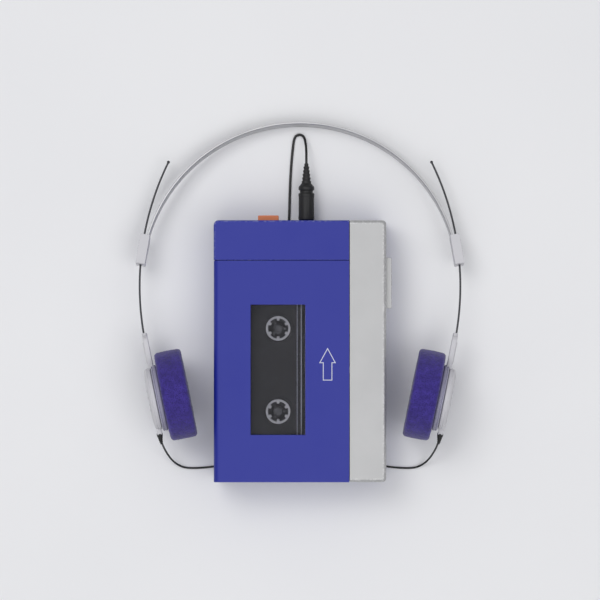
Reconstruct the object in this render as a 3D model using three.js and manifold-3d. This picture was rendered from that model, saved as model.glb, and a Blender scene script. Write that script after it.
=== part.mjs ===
// A pocket cassette player lying on its back, with its lightweight headphones plugged in.
// Millimetres. +X is the player's right, +Y its top edge, +Z the way its front face looks.
// Every function below builds in the player's own frame: x and y from the middle of the casing,
// z from the surface that the feet stand on.
import * as THREE from "three";
import { mergeVertices } from "three/addons/utils/BufferGeometryUtils.js";
import Module from "manifold-3d";

const wasm = await Module();
wasm.setup();

// ---- driving dimensions ----------------------------------------------------------------
const GAP = 0.3; // clearance between touching pieces
const WALL = 1.6; // casing wall

// the casing
const LEFT = -44;
const RIGHT = 44;
const BOTTOM = -66.75;
const TOP = 66.75;
const BACK_Z = 2; // back face, lifted by the feet
const SPLIT_Z = 13; // seam between the back shell and the front pieces
const FRONT_Z = 31;
const CORNER = 2.4; // corner radius seen from the front
const TRIM_X = 25.4; // seam between the coloured door and the bare metal side panel
const CAP_Y = 46.2; // shut line between the door and the fixed top cap

// the cassette door, rolled round its hinge along the left edge
const HINGE = { x: -41, z: 28 };
const ROLL_RADIUS = 3;
const SKIN = 1.2;
const WINDOW = { x: [-25.2, 2.7], y: [-42.65, 23.75] };

// the cassette: a standard compact cassette, tape edge towards the side panel
const CASSETTE = { x: [-40.9, 22.9], y: [-59.9, 40.5], middle: 21, thin: 8.7, thick: 12 };
const CASSETTE_Y = (CASSETTE.y[0] + CASSETTE.y[1]) / 2;
const HUB_X = -11.2;
const HUB_PITCH = 42.5;
const TAKEUP_Y = 11.55;
const SUPPLY_Y = TAKEUP_Y - HUB_PITCH;
const CAPSTAN = { x: 18, y: CASSETTE_Y + 25.5, radius: 1.2 };
const SIDE_WINDOW_Y = [CAPSTAN.y, 2 * CASSETTE_Y - CAPSTAN.y];

// the drive under the deck
const DECK_Z = [13.4, 14.4];
const FLYWHEEL_RADIUS = 10.4;
const FLYWHEEL_HUB_RADIUS = 6;
const SPINDLE_WHEEL_RADIUS = 9;
const MOTOR = { x: -27, y: 50, radius: 11 };
const PULLEY_RADIUS = 3;
const WHEEL_Z = [8, 12];

// two AA cells end to end in the side column
const CELL = { x: 34.95, z: 10.75, radius: 7.1, length: 50 };

// controls
const KEY_Z = [19.3, 26.7];
const KEY_INNER_X = 36.4;
const FLUSH_X = RIGHT - 0.25;
const PLAY_KEY = { y: [21.8, 47.8], proud: 2.8 };
const FLUSH_KEYS = { stop_key: [8, 18], rewind_key: [-6, 4], forward_key: [-20, -10] };
const SLIDERS = { volume_slider_left: [20, 22], volume_slider_right: [25, 27] };
const SLIDER_Y = -40;
const TALK_BUTTON = { x: [-21.5, -10.9], z: [17, 24], proud: 2.6 };

// the jacks and the plug
const JACK_Z = 8.5;
const JACK_X = 3.3;
const SPARE_JACK_X = 17;
const PIN_RADIUS = 1.75;
const PLUG_START = TOP + GAP;

// the headphones, in a flat frame of their own that is tipped about x where the pads stand
const PAD = { x: -63.6, y: -22.3, radius: 23, depth: 13.8, lean: 11.6 };
const PAD_HEIGHT = 23.5;
const BAND = { y: 37, radius: 81.2, thickness: 1.2, width: 9, end: 9.4 };
const BAND_HEIGHT = 4.9; // height of the band's middle where it rests on the surface
const ROD = { x: 64.9, y: 34.7, radius: 147.3, thick: 0.5, low: -10.5, high: 25.6 };
const SLEEVE = { x: -80.75, y: 52.4, size: [4.8, 15.3, 11], lean: 9.7 };
const TIP = Math.asin((PAD_HEIGHT - BAND_HEIGHT) / (BAND.y + BAND.radius - PAD.y));

// the lead
const LEAD_RADIUS = 0.65;
const LEG_RADIUS = 0.5;
const COIL = { x: 0, y: 20, radius: 20.4 };
const LEAD_STEPS = 40;
const LEG_STEPS = 24;

// ---- finishes --------------------------------------------------------------------------
const finish = (color, roughness, metalness = 0) =>
  new THREE.MeshStandardMaterial({ color, roughness, metalness });
const BLUE = finish(0x3e4699, 0.45, 0.2);
const SILVER = finish(0xbbbbbb, 0.4, 0.7);
const STEEL = finish(0xa9abb0, 0.35, 0.9);
const BRASS = finish(0xb59a5a, 0.35, 0.9);
const BLACK = finish(0x242427, 0.5);
const RUBBER = finish(0x1d1d1f, 0.85);
const SMOKED = finish(0x37373c, 0.1);
const SHELL = finish(0x3a3a3d, 0.5);
const PALE = finish(0xc9c9cc, 0.5);
const ORANGE = finish(0xbb7049, 0.5);
const GREEN = finish(0x3f6b45, 0.6);
const CELL_WRAP = finish(0x6a6f78, 0.4, 0.3);
const FOAM = finish(0x3a3475, 0.95);
const BAND_METAL = finish(0xb9b9b9, 0.3, 0.8);
const CAP_PLASTIC = finish(0xbab9be, 0.5);

// ---- shapes ----------------------------------------------------------------------------
function solidOf(geometry) {
  const bare = geometry.index ? geometry.toNonIndexed() : geometry.clone();
  bare.deleteAttribute("normal");
  bare.deleteAttribute("uv");
  const merged = mergeVertices(bare, 1e-4);
  const mesh = new wasm.Mesh({
    numProp: 3,
    vertProperties: merged.attributes.position.array,
    triVerts: new Uint32Array(merged.index.array),
  });
  return new wasm.Manifold(mesh);
}

function geometryOf(solid) {
  const { vertProperties, triVerts } = solid.getMesh();
  const geometry = new THREE.BufferGeometry();
  geometry.setAttribute("position", new THREE.BufferAttribute(vertProperties, 3));
  geometry.setIndex(new THREE.BufferAttribute(triVerts, 1));
  geometry.computeVertexNormals();
  return geometry;
}

function combine(how, first, others) {
  let solid = solidOf(first);
  for (const other of others) {
    solid = solid[how](solidOf(other));
  }
  return geometryOf(solid);
}
const join = (first, ...others) => combine("add", first, others);
const cut = (first, ...others) => combine("subtract", first, others);

const middle = ([low, high]) => (low + high) / 2;
const grow = ([low, high], by) => [low - by, high + by];
const radians = THREE.MathUtils.degToRad;

// A box from its x, y and z spans.
function block(xs, ys, zs) {
  const box = new THREE.BoxGeometry(xs[1] - xs[0], ys[1] - ys[0], zs[1] - zs[0]);
  return box.translate(middle(xs), middle(ys), middle(zs));
}

// A rectangle whose corners run bottom left, bottom right, top right, top left.
function panelOutline(xs, ys, radii) {
  const [bl, br, tr, tl] = radii;
  const shape = new THREE.Shape();
  shape.moveTo(xs[0] + bl, ys[0]);
  shape.lineTo(xs[1] - br, ys[0]);
  if (br) shape.absarc(xs[1] - br, ys[0] + br, br, -Math.PI / 2, 0);
  shape.lineTo(xs[1], ys[1] - tr);
  if (tr) shape.absarc(xs[1] - tr, ys[1] - tr, tr, 0, Math.PI / 2);
  shape.lineTo(xs[0] + tl, ys[1]);
  if (tl) shape.absarc(xs[0] + tl, ys[1] - tl, tl, Math.PI / 2, Math.PI);
  shape.lineTo(xs[0], ys[0] + bl);
  if (bl) shape.absarc(xs[0] + bl, ys[0] + bl, bl, Math.PI, 1.5 * Math.PI);
  return shape;
}

function prism(shape, zs, curveSegments = 2) {
  const settings = { depth: zs[1] - zs[0], bevelEnabled: false, curveSegments };
  return new THREE.ExtrudeGeometry(shape, settings).translate(0, 0, zs[0]);
}

const panel = (xs, ys, zs, radii) => prism(panelOutline(xs, ys, radii), zs);

// A round bar along z or y, from its centre line's place and its span.
function barZ(x, y, radius, zs, sides = 20) {
  const bar = new THREE.CylinderGeometry(radius, radius, zs[1] - zs[0], sides);
  return bar.rotateX(Math.PI / 2).translate(x, y, middle(zs));
}

function barY(x, z, radius, ys, sides = 20) {
  const bar = new THREE.CylinderGeometry(radius, radius, ys[1] - ys[0], sides);
  return bar.translate(x, middle(ys), z);
}

// A turned piece from [radius, height] pairs; its axis is y until it is turned up to z.
function turned(profile, sides = 24) {
  const points = profile.map(([radius, height]) => new THREE.Vector2(radius, height));
  return new THREE.LatheGeometry(points, sides);
}

const turnedUp = (profile, x, y, sides) => turned(profile, sides).rotateX(Math.PI / 2).translate(x, y, 0);

// A flat strip bent round an arc in the xy plane; angles in degrees from +x.
function arcStrip(x, y, radius, thickness, width, from, to, segments) {
  const shape = new THREE.Shape();
  shape.absarc(x, y, radius + thickness / 2, radians(from), radians(to), false);
  shape.absarc(x, y, radius - thickness / 2, radians(to), radians(from), true);
  return prism(shape, [-width / 2, width / 2], segments / 2);
}

// A round cord through a list of points.
function cord(points, radius, steps, sides = 8) {
  const section = new THREE.Shape();
  section.absarc(0, 0, radius, 0, 2 * Math.PI);
  const path = new THREE.CatmullRomCurve3(points.map((p) => new THREE.Vector3(...p)));
  return new THREE.ExtrudeGeometry(section, { steps, curveSegments: sides / 2, extrudePath: path });
}

function add(parent, name, geometry, material) {
  const mesh = new THREE.Mesh(geometry, material);
  mesh.name = name;
  parent.add(mesh);
}

// ---- the casing ------------------------------------------------------------------------
function jackHole(x) {
  return barY(x, JACK_Z, 2.6, [TOP - 4, TOP + 1]);
}

const BATTERY_HATCH = { x: [27.2, 42.4], z: [3.3, 18.7] };

function backCover() {
  const xs = [LEFT, RIGHT];
  const ys = [BOTTOM, TOP];
  const outer = panel(xs, ys, [BACK_Z, SPLIT_Z], [CORNER, CORNER, CORNER, CORNER]);
  const room = block(grow(xs, -WALL), grow(ys, -WALL), [BACK_Z + 1.5, SPLIT_Z + 1]);
  const hatch = block(BATTERY_HATCH.x, [BOTTOM - 1, BOTTOM + 3], [BATTERY_HATCH.z[0], SPLIT_Z + 1]);
  return cut(outer, room, hatch, jackHole(JACK_X), jackHole(SPARE_JACK_X));
}

// The u-shaped wall round the cassette well, hollowed along the left edge for the rolled door.
function wellFrame() {
  const zs = [SPLIT_Z + GAP, 27.7];
  const xs = [LEFT, TRIM_X - GAP];
  const outer = panel(xs, [BOTTOM, CAP_Y], zs, [CORNER, 0, 0, 0]);
  const well = block([LEFT + WALL, RIGHT], [BOTTOM + WALL, CAP_Y - WALL], [0, FRONT_Z]);
  const hollow = barY(HINGE.x, HINGE.z, ROLL_RADIUS + 0.35, [BOTTOM - 1, CAP_Y + 1], 32);
  const walls = cut(outer, well, hollow);
  const lugs = [
    { stem: [CAP_Y - WALL - 2.9, CAP_Y - WALL + 0.1], ear: [CAP_Y - WALL - 2.9, CAP_Y - WALL - 0.5] },
    { stem: [BOTTOM + WALL - 0.1, BOTTOM + WALL + 2.9], ear: [BOTTOM + WALL + 0.5, BOTTOM + WALL + 2.9] },
  ].map(({ stem, ear }) => {
    const post = block([HINGE.x + 0.2, HINGE.x + 1.9], stem, [20, HINGE.z - 0.6]);
    return join(post, barY(HINGE.x, HINGE.z, 1.4, ear, 12));
  });
  const bore = barY(HINGE.x, HINGE.z, 1, [BOTTOM + WALL + 0.1, CAP_Y - WALL - 0.1], 12);
  return cut(join(walls, ...lugs), bore);
}

function frontCap() {
  const xs = [LEFT, TRIM_X - GAP];
  const ys = [CAP_Y + GAP, TOP];
  const outer = panel(xs, ys, [SPLIT_Z + GAP, FRONT_Z], [0, 0, 0, CORNER]);
  const room = block([LEFT + WALL, RIGHT], [0, TOP - WALL], [0, FRONT_Z - WALL]);
  const slot = block(grow(TALK_BUTTON.x, GAP), [TOP - 3, TOP + 1], grow(TALK_BUTTON.z, GAP));
  return cut(outer, room, slot);
}

function sidePanel() {
  const outer = panel([TRIM_X, RIGHT], [BOTTOM, TOP], [SPLIT_Z + GAP, FRONT_Z], [0, 2, 2, 0]);
  const room = block([0, RIGHT - WALL], grow([BOTTOM, TOP], -WALL), [0, FRONT_Z - WALL]);
  const hatch = block(BATTERY_HATCH.x, [BOTTOM - 1, BOTTOM + 3], [0, BATTERY_HATCH.z[1]]);
  const slot = (ys, zs) => block([RIGHT - 3, RIGHT + 1], grow(ys, GAP), grow(zs, GAP));
  const keySlots = [PLAY_KEY.y, ...Object.values(FLUSH_KEYS)].map((ys) => slot(ys, KEY_Z));
  const sliderSlots = Object.values(SLIDERS).map((zs) => slot(grow([SLIDER_Y, SLIDER_Y], 11), zs));
  return cut(outer, room, hatch, ...keySlots, ...sliderSlots);
}

// The blue door: a skin with low flanges, its left edge rolled round the hinge axis.
function cassetteDoor() {
  const ys = [BOTTOM, CAP_Y];
  const flat = block([HINGE.x, TRIM_X - GAP], ys, [HINGE.z, FRONT_Z]);
  const inside = block([HINGE.x - 1, TRIM_X - WALL], grow(ys, -WALL), [HINGE.z - 1, FRONT_Z - SKIN]);
  const window = block(WINDOW.x, WINDOW.y, [HINGE.z, FRONT_Z + 1]);
  const roll = new THREE.Shape();
  roll.absarc(HINGE.x, HINGE.z, ROLL_RADIUS, Math.PI / 2, Math.PI, false);
  roll.absarc(HINGE.x, HINGE.z, ROLL_RADIUS - SKIN, Math.PI, Math.PI / 2, true);
  roll.lineTo(HINGE.x + 0.2, FRONT_Z - SKIN);
  roll.lineTo(HINGE.x + 0.2, FRONT_Z);
  const rolled = prism(roll, [-ys[1], -ys[0]], 4).rotateX(Math.PI / 2);
  const knuckles = [grow([37, 37], 3), grow([-58, -58], 3)].map((span) =>
    barY(HINGE.x, HINGE.z, 2, span, 16),
  );
  const bore = barY(HINGE.x, HINGE.z, 1.05, ys, 12);
  const pressed = cut(flat, inside, window);
  return cut(join(pressed, rolled, ...knuckles), bore);
}

function doorWindow() {
  const pane = block(grow(WINDOW.x, 1.8), grow(WINDOW.y, 1.8), [28.3, FRONT_Z - SKIN - GAP]);
  const raised = block(grow(WINDOW.x, -GAP), grow(WINDOW.y, -GAP), [29, FRONT_Z - 0.5]);
  return join(pane, raised);
}

// Sheet-metal holder on the door's inside: it grips the cassette by its two ends.
function cassetteHolder() {
  const ends = [
    { wall: [CASSETTE.y[1] + GAP, CASSETTE.y[1] + 0.9], lip: [CASSETTE.y[1] - 2.5, CASSETTE.y[1] + 0.9] },
    { wall: [CASSETTE.y[0] - 0.9, CASSETTE.y[0] - GAP], lip: [CASSETTE.y[0] - 0.9, CASSETTE.y[0] + 2.5] },
  ];
  const xs = [-37, 5];
  const walls = ends.map(({ wall }) => block(xs, wall, [15.7, 29.4]));
  const lips = ends.map(({ lip }) => block(xs, lip, [15.7, 16.3]));
  const strip = block([-38.5, -29.5], [CASSETTE.y[0] - 0.9, CASSETTE.y[1] + 0.9], [28.8, 29.4]);
  return join(strip, ...walls, ...lips);
}

function batteryCap() {
  const face = block([27.5, 42.1], [BOTTOM, BOTTOM + 1.4], [3.6, 18.4]);
  const spigot = block([28.6, 41], [BOTTOM + 1, BOTTOM + 3.6], [4.7, 17.3]);
  return join(face, spigot);
}

function foot(x, y) {
  return prism(panelOutline(grow([x, x], 5), grow([y, y], 1.7), [1.6, 1.6, 1.6, 1.6]), [0, 1.7]);
}

// ---- the drive and the deck ------------------------------------------------------------
function deckPlate() {
  const sheet = block([-42, 24.6], [BOTTOM + WALL + GAP, CAP_Y - WALL - GAP], DECK_Z);
  const through = [DECK_Z[0] - 1, DECK_Z[1] + 1];
  const holes = [
    barZ(HUB_X, TAKEUP_Y, 5, through),
    barZ(HUB_X, SUPPLY_Y, 5, through),
    barZ(CAPSTAN.x, CAPSTAN.y, 2, through, 12),
  ];
  return cut(sheet, ...holes);
}

// A reel spindle: drive wheel under the deck, shaft and three fins above it.
function spindle(y) {
  const shaft = turnedUp(
    [
      [0, 7],
      [1, 7],
      [1, WHEEL_Z[0]],
      [SPINDLE_WHEEL_RADIUS, WHEEL_Z[0]],
      [SPINDLE_WHEEL_RADIUS, WHEEL_Z[1]],
      [2.6, WHEEL_Z[1]],
      [2.6, 22.4],
      [1.4, 23.8],
      [0, 24],
    ],
    0,
    0,
  );
  const fins = [0, 1, 2].map((turn) =>
    block([1, 4.4], [-0.6, 0.6], [16.4, 21.4]).rotateZ(radians(120 * turn)),
  );
  return join(shaft, ...fins).translate(HUB_X, y, 0);
}

function flywheel() {
  return turnedUp(
    [
      [0, 3.8],
      [FLYWHEEL_RADIUS, 3.8],
      [FLYWHEEL_RADIUS, 6],
      [FLYWHEEL_HUB_RADIUS, 6],
      [FLYWHEEL_HUB_RADIUS, WHEEL_Z[1]],
      [CAPSTAN.radius, WHEEL_Z[1]],
      [CAPSTAN.radius, 24],
      [0, 24],
    ],
    CAPSTAN.x,
    CAPSTAN.y,
    32,
  );
}

// The rubber-tyred wheel between the flywheel's hub and the take-up spindle's wheel.
const IDLER_RADIUS = 6.95;
function idlerWheel() {
  const towards = new THREE.Vector2(HUB_X - CAPSTAN.x, TAKEUP_Y - CAPSTAN.y).normalize();
  const reach = FLYWHEEL_HUB_RADIUS + GAP + IDLER_RADIUS;
  const profile = [
    [0, 7],
    [1, 7],
    [1, 8.3],
    [IDLER_RADIUS, 8.3],
    [IDLER_RADIUS, 11.4],
    [1, 11.4],
    [1, 12.9],
    [0, 12.9],
  ];
  return turnedUp(profile, CAPSTAN.x + towards.x * reach, CAPSTAN.y + towards.y * reach, 28);
}

function motor() {
  const can = barZ(MOTOR.x, MOTOR.y, MOTOR.radius, [7.2, 12.8], 28);
  return cut(can, barZ(MOTOR.x, MOTOR.y, 1.3, [7, 11], 12));
}

function motorPulley() {
  const profile = [
    [0, 4.1],
    [PULLEY_RADIUS, 4.1],
    [PULLEY_RADIUS, 6.6],
    [0.8, 6.6],
    [0.8, 10.4],
    [0, 10.4],
  ];
  return turnedUp(profile, MOTOR.x, MOTOR.y, 20);
}

// A flat belt: the outline round both pulleys, and the same outline one belt thickness in.
function driveBelt() {
  const span = new THREE.Vector2(CAPSTAN.x - MOTOR.x, CAPSTAN.y - MOTOR.y);
  const along = span.angle();
  const loop = (clear) => {
    const big = FLYWHEEL_RADIUS + clear;
    const small = PULLEY_RADIUS + clear;
    const wrap = Math.acos((big - small) / span.length());
    const shape = new THREE.Shape();
    shape.absarc(CAPSTAN.x, CAPSTAN.y, big, along - Math.PI + wrap, along + Math.PI - wrap, false);
    shape.absarc(MOTOR.x, MOTOR.y, small, along + Math.PI - wrap, along + Math.PI + wrap, false);
    return shape;
  };
  const zs = [4.5, 5.4];
  return cut(prism(loop(GAP + 0.8), zs, 8), prism(loop(GAP), [zs[0] - 1, zs[1] + 1], 8));
}

function circuitBoard() {
  const board = block([-40, 22], [47.8, 64], [15, 16.2]);
  const parts = [
    block([-36, -28], [50, 61], [16, 20]),
    block([-6, 2], [51, 57], [16, 18.5]),
    block([8, 20], [50, 54], [16, 19]),
    barZ(7, 60, 2.5, [16, 24], 14),
    barZ(14, 60, 2.5, [16, 22], 14),
  ];
  return join(board, ...parts);
}

function jack(x) {
  const body = block(grow([x, x], 3.9), [50.4, TOP - WALL - 0.35], [5, 12]);
  return cut(body, barY(x, JACK_Z, 2.1, [49, TOP], 16));
}

// ---- the tape heads --------------------------------------------------------------------
const BRIDGE = { x: [27.4, 33.6], y: [-34, 34], z: [26, 26.8] };
const ROLLER = { x: 29.1, y: CAPSTAN.y, radius: 4.5, z: [17.9, 24.3] };
const ARM_PIVOT_Y = 31;

function headBridge() {
  const plate = block(BRIDGE.x, BRIDGE.y, BRIDGE.z);
  const hanger = block([28, 30.6], grow([CASSETTE_Y, CASSETTE_Y], 4), [24.8, BRIDGE.z[1]]);
  return join(plate, hanger);
}

function playbackHead() {
  const can = block([26.2, 31], grow([CASSETTE_Y, CASSETTE_Y], 6), [17.6, 24.4]);
  const nose = barZ(27.9, CASSETTE_Y, 3.1, [17.8, 24.2], 20);
  return join(can, nose);
}

function pinchArm() {
  const zs = [24.8, 25.6];
  const bar = block(grow([ROLLER.x, ROLLER.x], 1.2), [ROLLER.y, ARM_PIVOT_Y], zs);
  const ends = [barZ(ROLLER.x, ROLLER.y, 2.3, zs, 14), barZ(ROLLER.x, ARM_PIVOT_Y, 1.8, zs, 14)];
  return join(bar, ...ends);
}

// ---- controls --------------------------------------------------------------------------
const keyBlock = (ys, outer) => block([KEY_INNER_X, outer], ys, KEY_Z);

function sliderKnob(zs) {
  return block([40.4, FLUSH_X], grow([SLIDER_Y, SLIDER_Y], 3), zs);
}

function talkButton() {
  return block(TALK_BUTTON.x, [60, TOP + TALK_BUTTON.proud], TALK_BUTTON.z);
}

// ---- the cassette ----------------------------------------------------------------------
// One half shell, the side that faces the deck; the front half is this one turned over.
function cassetteHalf(side) {
  const { x, y, middle: seam, thin, thick } = CASSETTE;
  const low = seam - thin / 2;
  const head = seam - thick / 2;
  const top = seam - GAP / 2;
  const slab = panel(x, y, [low, top], [1.5, 1, 1, 1.5]);
  const wedge = new THREE.Shape();
  wedge.moveTo(x[1], CASSETTE_Y - 34);
  wedge.lineTo(x[1], CASSETTE_Y + 34);
  wedge.lineTo(x[1] - 13.5, CASSETTE_Y + 31);
  wedge.lineTo(x[1] - 13.5, CASSETTE_Y - 31);
  const inside = block([x[0] + 1.2, x[1] - 1.2], grow(y, -1.2), [low + 1.2, seam + 1]);
  const hubHoles = [TAKEUP_Y, SUPPLY_Y].map((hubY) => barZ(HUB_X, hubY, 6.6, [head - 1, seam], 28));
  const edge = [x[1] - 4.2, x[1] + 1];
  const windows = [
    block(edge, grow([CASSETTE_Y, CASSETTE_Y], 8), [seam - 4.8, seam + 1]),
    ...SIDE_WINDOW_Y.map((at) => block(edge, grow([at, at], 6.2), [seam - 4.8, seam + 1])),
  ];
  const posts = SIDE_WINDOW_Y.map((at) => barZ(CAPSTAN.x, at, 3, [head - 1, seam], 16));
  const body = cut(join(slab, prism(wedge, [head, top])), inside, ...hubHoles, ...windows, ...posts);
  const turn = side === "front" ? Math.PI : 0;
  return body.translate(0, -CASSETTE_Y, -seam).rotateX(turn).translate(0, CASSETTE_Y, seam);
}

// A reel: toothed hub and the tape wound on it.
function reel(y, tapeRadius) {
  const profile = [
    [5.25, 16.8],
    [6.25, 16.8],
    [6.25, 18.6],
    [tapeRadius, 18.6],
    [tapeRadius, 23.4],
    [6.25, 23.4],
    [6.25, 25.2],
    [5.25, 25.2],
    [5.25, 16.8],
  ];
  const teeth = [0, 1, 2, 3, 4, 5].map((step) =>
    block([4, 5.6], [-0.8, 0.8], [17, 25]).rotateZ(radians(30 + 60 * step)),
  );
  return join(turnedUp(profile, 0, 0, 30), ...teeth).translate(HUB_X, y, 0);
}

// ---- the headphones --------------------------------------------------------------------
function headband() {
  const { y, radius, thickness, width, end } = BAND;
  return arcStrip(0, y, radius, thickness, width, end, 180 - end, 36);
}

function sleeve() {
  const [thick, length, width] = SLEEVE.size;
  const body = block([-thick / 2, thick / 2], [-length / 2, length / 2], [-width / 2, width / 2]);
  body.rotateZ(-radians(SLEEVE.lean)).translate(SLEEVE.x, SLEEVE.y, 0);
  const slotThick = BAND.thickness + 2 * GAP;
  const slot = arcStrip(0, BAND.y, BAND.radius, slotThick, BAND.width + 2 * GAP, 150, 180 - BAND.end + 0.4, 20);
  const boreSide = 2 * (ROD.thick + 0.35);
  const bore = arcStrip(ROD.x, ROD.y, ROD.radius, boreSide, boreSide, 165, 185, 16);
  return cut(body, slot, bore);
}

function slideRod() {
  const points = [];
  for (let step = 0; step <= 12; step++) {
    const angle = radians(ROD.low + ((ROD.high - ROD.low) * step) / 12);
    points.push([ROD.x - ROD.radius * Math.cos(angle), ROD.y + ROD.radius * Math.sin(angle), 0]);
  }
  return cord(points, ROD.thick, 22);
}

// Turns a piece built along +x, the way an ear piece faces out, onto the left ear.
function onLeftEar(geometry) {
  return geometry.rotateZ(Math.PI + radians(PAD.lean)).translate(PAD.x, PAD.y, 0);
}

const turnedOut = (profile, sides) => turned(profile, sides).rotateZ(-Math.PI / 2);

function earPlate() {
  const plate = turnedOut([[0, 7.2], [17, 7.2], [17, 9.8], [0, 9.8]], 28);
  const hanger = block([8.2, 11], [-32.6, -16.3], [-4, 4]);
  return onLeftEar(join(plate, hanger));
}

function earCap() {
  const cap = turnedOut([[0, 10.1], [16, 10.1], [16, 12.2], [15, 13.4], [12.6, 13.9], [0, 13.9]], 28);
  const nub = block([10.8, 13.2], [15, 18.8], [-1.4, 1.4]);
  return onLeftEar(join(cap, nub));
}

function earPad() {
  const half = PAD.depth / 2;
  const profile = [[0, -half + 0.6], [14, -half], [20, -half + 0.6], [22.4, -half + 2.8], [23, -1.6]];
  const mirrored = profile.map(([radius, height]) => [radius, -height]).reverse();
  return onLeftEar(turnedOut([...profile, ...mirrored], 28));
}

// ---- the lead --------------------------------------------------------------------------
// The plug: pin, moulded body with a neck groove and a knob, and a ribbed boot.
function plug() {
  const boot = [];
  for (let rib = 0; rib < 4; rib++) {
    const radius = 2.45 - rib * 0.28;
    boot.push([radius, 19.4 + rib * 2.4], [radius, 20.8 + rib * 2.4], [radius - 0.5, 20.9 + rib * 2.4]);
  }
  const profile = [
    [0, -14],
    [1, -13.6],
    [PIN_RADIUS, -12.4],
    [PIN_RADIUS, 0],
    [4.1, 0],
    [4.1, 14.2],
    [3.35, 14.3],
    [3.35, 15.5],
    [4.05, 15.6],
    [4.05, 17.6],
    [2.6, 19],
    ...boot,
    [1, 29],
    [0, 29],
  ];
  return turned(profile, 16).translate(JACK_X, PLUG_START, JACK_Z);
}
const BOOT_END = PLUG_START + 29;

function coilDisc() {
  const high = 2 * LEAD_RADIUS + 0.1;
  return turnedUp([[0, 0], [COIL.radius, 0], [COIL.radius, high], [0, high]], COIL.x, COIL.y, 40);
}

// The moulding where the lead divides into its two legs.
function cordSplit() {
  const body = prism(panelOutline([-2.8, 2.8], [-17, -7], [0.8, 0.8, 1.6, 1.6]), [0.05, 1.65]);
  const neck = barY(0, 0.85, 0.75, [-8, -0.8], 12);
  return join(body, neck);
}

// From the plug's boot, round the loop, back along the left of the plug and under the player.
const LEAD_ROUTE = [
  [JACK_X, BOOT_END + GAP, JACK_Z],
  [3.3, 99.4, 8.2],
  [3.25, 102.6, 7.0],
  [3.1, 105.6, 5.0],
  [2.75, 107.9, 3.3],
  [2.31, 109.79, 2.1],
  [1.45, 111.13, 1.35],
  [-0.25, 111.75, 0.9],
  [-1.95, 111.13, 0.72],
  [-2.81, 109.79, 0.68],
  [-3.35, 107.6, 0.68],
  [-3.9, 103, 0.68],
  [-4.4, 97.6, 0.68],
  [-4.9, 90, 0.68],
  [-5.3, 80.8, 0.68],
  [-5.6, 70, 0.68],
  [-6.4, 60, 0.68],
  [-7.4, 52, 0.68],
  [-7.2, 46, 0.68],
  [-5, 42.2, 0.68],
  [-1.6, 40.9, 0.68],
];

// The left leg: down from the ear piece, then along the surface and under the player.
const LEG_ROUTE = [
  [-71.5, -43.4, 26.0],
  [-71.1, -45.7, 23.2],
  [-70.3, -48.7, 18],
  [-69, -52, 12],
  [-66.8, -55.8, 6.2],
  [-63.8, -58.8, 2.4],
  [-59.6, -60.7, 0.8],
  [-53.2, -61, 0.53],
  [-43.8, -60, 0.53],
  [-36.5, -57.4, 0.53],
  [-30.5, -52, 0.53],
  [-26.5, -44.5, 0.53],
  [-23, -36, 0.53],
  [-18.5, -28.6, 0.53],
  [-12.5, -23.6, 0.53],
  [-6.8, -21.4, 0.53],
  [-3.2, -20.4, 0.53],
  [-1.6, -18.9, 0.53],
  [-1.4, -17.35, 0.53],
];

// ---- assembly --------------------------------------------------------------------------
function playerGroup() {
  const player = new THREE.Group();
  const put = (name, geometry, material) => add(player, name, geometry, material);
  put("back_cover", backCover(), BLUE);
  put("well_frame", wellFrame(), BLUE);
  put("front_cap", frontCap(), BLUE);
  put("side_panel", sidePanel(), SILVER);
  put("cassette_door", cassetteDoor(), BLUE);
  put("door_window", doorWindow(), SMOKED);
  put("door_hinge_pin", barY(HINGE.x, HINGE.z, 0.75, [BOTTOM + 2.2, CAP_Y - 2.2], 12), STEEL);
  put("cassette_holder", cassetteHolder(), STEEL);
  put("battery_cap", batteryCap(), BLUE);
  [BOTTOM + 4.2, BOTTOM + 4.5 + CELL.length].forEach((low, index) => {
    const cell = barY(CELL.x, CELL.z, CELL.radius, [low, low + CELL.length], 24);
    put(`battery_cell_${index + 1}`, cell, CELL_WRAP);
  });
  const corners = [-1, 1].flatMap((x) => [-1, 1].map((y) => [35 * x, 64.1 * y]));
  corners.forEach(([x, y], index) => put(`foot_${index + 1}`, foot(x, y), RUBBER));

  put("deck_plate", deckPlate(), STEEL);
  put("takeup_spindle", spindle(TAKEUP_Y), PALE);
  put("supply_spindle", spindle(SUPPLY_Y), PALE);
  put("flywheel", flywheel(), BRASS);
  put("idler_wheel", idlerWheel(), RUBBER);
  put("motor", motor(), STEEL);
  put("motor_pulley", motorPulley(), BRASS);
  put("drive_belt", driveBelt(), RUBBER);
  put("circuit_board", circuitBoard(), GREEN);
  put("headphone_jack", jack(JACK_X), BLACK);
  put("spare_jack", jack(SPARE_JACK_X), BLACK);

  put("head_bridge", headBridge(), STEEL);
  put("playback_head", playbackHead(), STEEL);
  put("pinch_arm", pinchArm(), STEEL);
  put("pinch_roller", barZ(ROLLER.x, ROLLER.y, ROLLER.radius, ROLLER.z, 24), RUBBER);

  put("play_key", keyBlock(PLAY_KEY.y, RIGHT + PLAY_KEY.proud), SILVER);
  for (const [name, ys] of Object.entries(FLUSH_KEYS)) {
    put(name, keyBlock(ys, FLUSH_X), SILVER);
  }
  for (const [name, zs] of Object.entries(SLIDERS)) {
    put(name, sliderKnob(zs), BLACK);
  }
  put("talk_button", talkButton(), ORANGE);

  put("cassette_back_half", cassetteHalf("back"), SHELL);
  put("cassette_front_half", cassetteHalf("front"), SHELL);
  put("takeup_reel", reel(TAKEUP_Y, 14), PALE);
  put("supply_reel", reel(SUPPLY_Y, 20), PALE);
  return player;
}

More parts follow.
